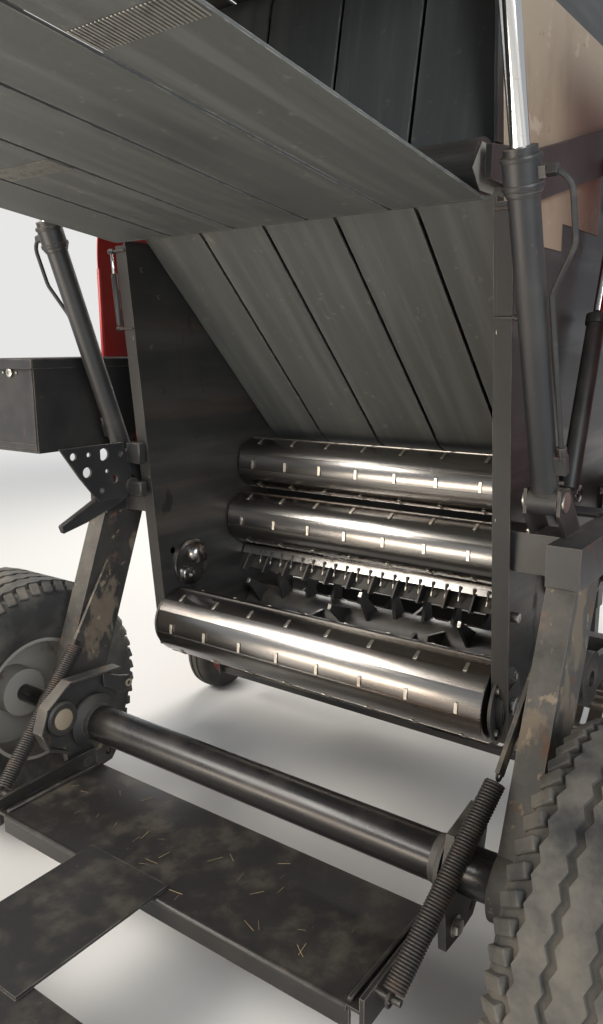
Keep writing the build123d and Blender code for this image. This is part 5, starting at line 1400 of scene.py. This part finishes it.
# %% Shield pressings, painted slot shade and handles
SHIELD_REAR, SHIELD_FRONT = 0.5, 1.25
SHIELD_MIDDLE = (SHIELD_REAR + SHIELD_FRONT) / 2
SWAGE_LENGTH = SHIELD_FRONT - SHIELD_REAR
cup_profile = [(0.0, 0.0), (0.04, 0.0), (0.045, 0.006), (0.052, 0.006), (0.055, 0.0)]
for name, sign in SIDES:
    body = f"side_shield_{name}"
    swages = []
    for z in (1.14, 1.47, 1.8):
        for offset in (-0.028, 0.028):
            place = at(SHIELD_MIDDLE, sign * 1.0, z + offset)
            swages.append(drum(0.009, SWAGE_LENGTH, place, AHEAD, 12, 0.003))
        swages.append(block((SWAGE_LENGTH, 0.006, 0.05), at(SHIELD_MIDDLE, sign * 1.0015, z), edge=0.002))
    swages.append(block((0.012, 0.014, 0.9), at(0.424, sign * 0.998, 1.45), edge=0.003))
    swages.append(block((0.91, 0.014, 0.012), at(0.875, sign * 0.998, 1.004), edge=0.003))
    finished(joined(swages), f"shield_pressing_{name}", body, "shield_red", 50)
    # The slots are black strips: painted shade in place of the openings.
    painted_slot_shade = []
    for row in range(4):
        painted_slot_shade.append(block((0.42, 0.004, 0.009), at(0.9, sign * 1.0015, 1.27 + 0.03 * row), edge=0.001))
    cup = spun(cup_profile, at(0.5, sign * 1.0005, 1.64), LEFT * sign, 32)
    grip = block((0.075, 0.012, 0.018), at(0.5, sign * 1.009, 1.64), edge=0.004)
    finished(joined(painted_slot_shade + [cup, grip]), f"shield_slot_shade_and_handle_{name}", body, "frame_black")
    pins = [drum(0.0105, 0.012, at(1.346, sign * 0.984, z + 0.076), UP, 20) for z in (1.25, 1.95)]
    small_steel(pins, f"hinge_heads_{name}", "frame")

# %% [markdown]
# ## Net box, drive and drawbar
#
# The net box lid closes with two over-centre catches. The gearbox is a ribbed casting with a filler plug,
# and a cone guards its input shaft. On the drawbar, a crank turns the jack and bolts hold the tongue. What
# is round is turned from a profile here, and what is flat is a rounded block, as on the real parts.

# %% Net box trim
LID_TOP = 2.1545
BOX_FRONT = 1.5625
panel = block((0.26, 1.1, 0.004), at(1.4, 0, LID_TOP), edge=0.0015)
ridges = [drum(0.007, 1.06, at(x, 0, LID_TOP), LEFT, 12, 0.002) for x in (1.3, 1.37, 1.44, 1.51)]
finished(joined([panel] + ridges), "lid_pressing", "net_box_lid", "shield_red", 50)
catches = []
for y in (-0.42, 0.42):
    catches.append(block((0.01, 0.034, 0.11), at(1.5655, y, 2.07), edge=0.003))
    catches.append(block((0.014, 0.05, 0.04), at(1.567, y, 2.0), edge=0.004))
    catches.append(drum(0.0045, 0.04, at(1.573, y, 2.12), LEFT, 16, 0.001))
small_steel(catches, "lid_catches", "frame")
front = [block((0.004, 1.14, 0.014), at(BOX_FRONT - 0.001, 0, z), edge=0.0015) for z in (1.76, 1.86, 1.96)]
front += [block((0.012, 0.02, 0.34), at(BOX_FRONT, y, 1.88), edge=0.003) for y in (-0.6, 0.6)]
finished(joined(front), "net_box_pressing", "frame", "shield_red", 50)

# %% Gearbox ribs, seal covers and guard
front_cover = [
    (0.0, 0.0), (0.082, 0.0), (0.082, 0.014), (0.05, 0.02), (0.045, 0.035), (0.02, 0.035), (0.02, 0.03),
    (0.0, 0.03),
]
side_cover = [(0.0, 0.0), (0.07, 0.0), (0.07, 0.012), (0.04, 0.03), (0.024, 0.034), (0.0, 0.034)]
casting = []
for y in (-0.1, -0.05, 0, 0.05, 0.1):
    casting.append(block((0.236, 0.008, 0.246), at(GEARBOX[0], y, 1.293), edge=0.002))
casting.append(spun(front_cover, at(GEARBOX_FRONT, 0, GEARBOX[1]), AHEAD, 48))
casting.append(spun(side_cover, at(GEARBOX[0], 0.14, GEARBOX[1]), LEFT, 40))
casting.append(drum(0.016, 0.02, at(1.3, 0.075, 1.418), UP, 6, 0.002))
finished(joined(casting), "gearbox_ribs", "frame", "cast_grey")
cone = [(0.098, 0.0), (0.094, 0.0), (0.07, 0.11), (0.074, 0.11)]
guard = spun(cone, at(GEARBOX_FRONT + 0.005, 0, GEARBOX[1]), AHEAD, 48)
finished(guard, "input_guard", "frame", "frame_black")

# %% Jack crank
JACK = (2.15, -0.32)
crank = [block((0.005, 0.05, 0.06), at(JACK[0] + x, JACK[1], 1.066), edge=0.001) for x in (-0.0405, 0.0405)]
crank.append(block((0.086, 0.086, 0.006), at(*JACK, 1.098), edge=0.002))
crank.append(drum(0.009, 0.05, at(*JACK, 1.124), UP, 20))
crank.append(block((0.16, 0.016, 0.008), at(JACK[0] + 0.07, JACK[1], 1.145), edge=0.002))
crank.append(drum(0.0145, 0.09, at(JACK[0] + 0.143, JACK[1], 1.195), UP, 20, 0.006))
finished(joined(crank), "jack_crank", "frame", "frame_black")

# %% [markdown]
# The drawbar's two arms run together at the tongue, so the bolts there sit on faces that slant outwards.
# Each one's place follows the slant, and it points square to the face.

# %% Drawbar bolts
spots = []
for index in range(3):
    for name, sign in SIDES:
        place = at(2.62 - 0.07 * index, sign * (0.0856 + 0.0236 * index), 0.53 + 0.035 * index)
        spots.append((place, Vector((0.319, sign * 0.948, 0)), 0.012))
spots += [(at(JACK[0] + x, -0.27, z), LEFT, 0.009) for x in (-0.05, 0.05) for z in (0.72, 0.8)]
bolts("drawbar_bolts", "frame", spots)

# %% [markdown]
# ## Tailgate details
#
# The tailgate's walls are drawn closed in the frame file and stand raised here, so its details are placed
# by their closed position and turned about the hinge. Bolts follow the rim, each roll has a bearing cover,
# and a latch hook stands at the lower front corner.

# %% Tailgate bolts, bearings and latches
def on_gate(x, y, z):
    """The raised place of a point given on the closed tailgate."""
    lifted = raised(x, z)
    return at(lifted[0], y, lifted[1])


RIM_BOLTS = (
    (-0.15, 2.55), (-0.45, 2.5), (-0.72, 2.3), (-0.92, 2.0), (-1.05, 1.68), (-1.08, 1.32), (-1.0, 1.0),
    (-0.8, 0.78), (-0.5, 0.68), (0.13, 1.0), (0.1, 1.4), (0.06, 1.8), (0.03, 2.2),
)
gate_spots = []
for name, sign in SIDES:
    out = LEFT * sign
    gate_spots += [(on_gate(x, sign * 0.6085, z), out, 0.01) for x, z in RIM_BOLTS]
    for roll_x, roll_z in GATE_ROLLS.values():
        places = ring(roll_x, roll_z, 0.05, 4, 45)
        gate_spots += [(on_gate(x, sign * 0.611, z), out, 0.008) for x, z in places]
bolts("tailgate_bolts", "tailgate", gate_spots)
bearing = [
    (0.0, 0.0), (0.075, 0.0), (0.075, 0.007), (0.05, 0.01), (0.04, 0.024), (0.018, 0.024), (0.018, 0.016),
    (0.0, 0.016),
]
covers = []
for name, sign in SIDES:
    for x, z in GATE_ROLLS.values():
        covers.append(spun(bearing, on_gate(x, sign * 0.6075, z), LEFT * sign, 36))
finished(joined(covers), "tailgate_bearings", "tailgate", "cast_grey")
hook = (
    (0.08, 0.98), (0.2, 0.99), (0.255, 0.96), (0.255, 0.89), (0.22, 0.87), (0.215, 0.92), (0.18, 0.94),
    (0.08, 0.92),
)
hooks = []
for name, sign in SIDES:
    hooks.append(plate([raised(x, z) for x, z in hook], sign * 0.622 - 0.006, sign * 0.622 + 0.006, 0.003))
    hooks.append(drum(0.022, 0.03, on_gate(0.13, sign * 0.621, 0.95), LEFT, 28))
finished(joined(hooks), "latch_hooks", "tailgate", "frame_black")
posts = [drum(0.014, 0.05, at(0.345, sign * 0.625, 0.93), LEFT, 24) for name, sign in SIDES]
small_steel(posts, "latch_pins", "frame")

# %% [markdown]
# ## Gauge wheels
#
# Small wheels carry the pickup's ends. Each is a rubber tyre with two grooves on a painted pressed disc. A
# torus would be the quick way, but it has no grooves and no flat tread, so both are profiles spun round one
# axis, with a hole for the pin.

# %% Gauge wheels
GAUGE_WHEEL = (1.19, 1.15, 0.2)
rubber = [
    (0.118, -0.04), (0.13, -0.05), (0.165, -0.054), (0.186, -0.048), (0.196, -0.036), (0.199, -0.022),
    (0.192, -0.019), (0.192, -0.014), (0.1995, -0.011), (0.2, 0.0),
]
rubber += [(radius, -height) for radius, height in reversed(rubber[:-1])]
disc = [
    (0.0145, -0.03), (0.034, -0.03), (0.036, -0.012), (0.075, -0.008), (0.1, -0.03), (0.12, -0.043),
    (0.125, -0.049), (0.13, -0.048), (0.123, -0.03), (0.12, 0.03), (0.13, 0.048), (0.125, 0.049),
    (0.112, 0.04), (0.1, 0.0), (0.075, 0.0), (0.036, 0.004), (0.034, 0.03), (0.0145, 0.03),
]
for name, sign in SIDES:
    body = f"gauge_wheel_{name}"
    out = LEFT * sign
    centre = at(GAUGE_WHEEL[0], sign * GAUGE_WHEEL[1], GAUGE_WHEEL[2])
    tyre = finished(spun(rubber, centre, out, 64), f"gauge_tyre_{name}", body, "tyre_rubber")
    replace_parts(tyre, body)
    finished(spun(disc, centre, out, 48), f"gauge_rim_{name}", body, "shield_red")
    spots = []
    for turn in (0.3, 1.87, 3.44, 5.01):
        away = Vector((0.055 * math.cos(turn), sign * 0.004, 0.055 * math.sin(turn)))
        spots.append((centre + away, out, 0.007))
    bolts(f"gauge_bolts_{name}", body, spots)

# %% [markdown]
# ## Straw on the ramp
#
# Bits of straw lie on the ramp, as on any baler in use. One straw is a thin round bar, and a seeded list
# scatters its copies, so that every run of the script gives the same ones. Particles would suit a whole
# field. A few dozen copies joined to one piece can ride on the ramp.

# %% Straw
STRAW_COUNT = 30
STRAW_Z = 0.2902
picks = random.Random(7)
stem = drum(0.0009, 0.045, (0, 0, 0), AHEAD, 6, 0)
bits = []
for index in range(STRAW_COUNT):
    place = at(picks.uniform(-0.36, -0.05), picks.uniform(-0.56, 0.56), STRAW_Z)
    turn = Matrix.Rotation(picks.uniform(0, math.pi), 4, "Z") @ Matrix.Scale(picks.uniform(0.35, 1.0), 4)
    bits.append(twin(stem, Matrix.Translation(place) @ turn))
bpy.data.objects.remove(stem)
finished(joined(bits), "ramp_straw", "ramp", "straw")

# %% Rolled edges of the ramp
edges = [drum(0.009, ROLL_LENGTH, at(x, 0, 0.281), LEFT, 20) for x in (-0.376, -0.896)]
edges += [block((0.34, 0.012, 0.012), at(-0.2, y, 0.292), edge=0.003) for y in (-0.594, 0.594)]
finished(joined(edges), "ramp_edges", "ramp", "ramp_steel")

# %% [markdown]
# ## Closing
#
# The bolt pattern was only for copying, so it goes.

# %% Put the bolt pattern away
bpy.data.objects.remove(pattern)
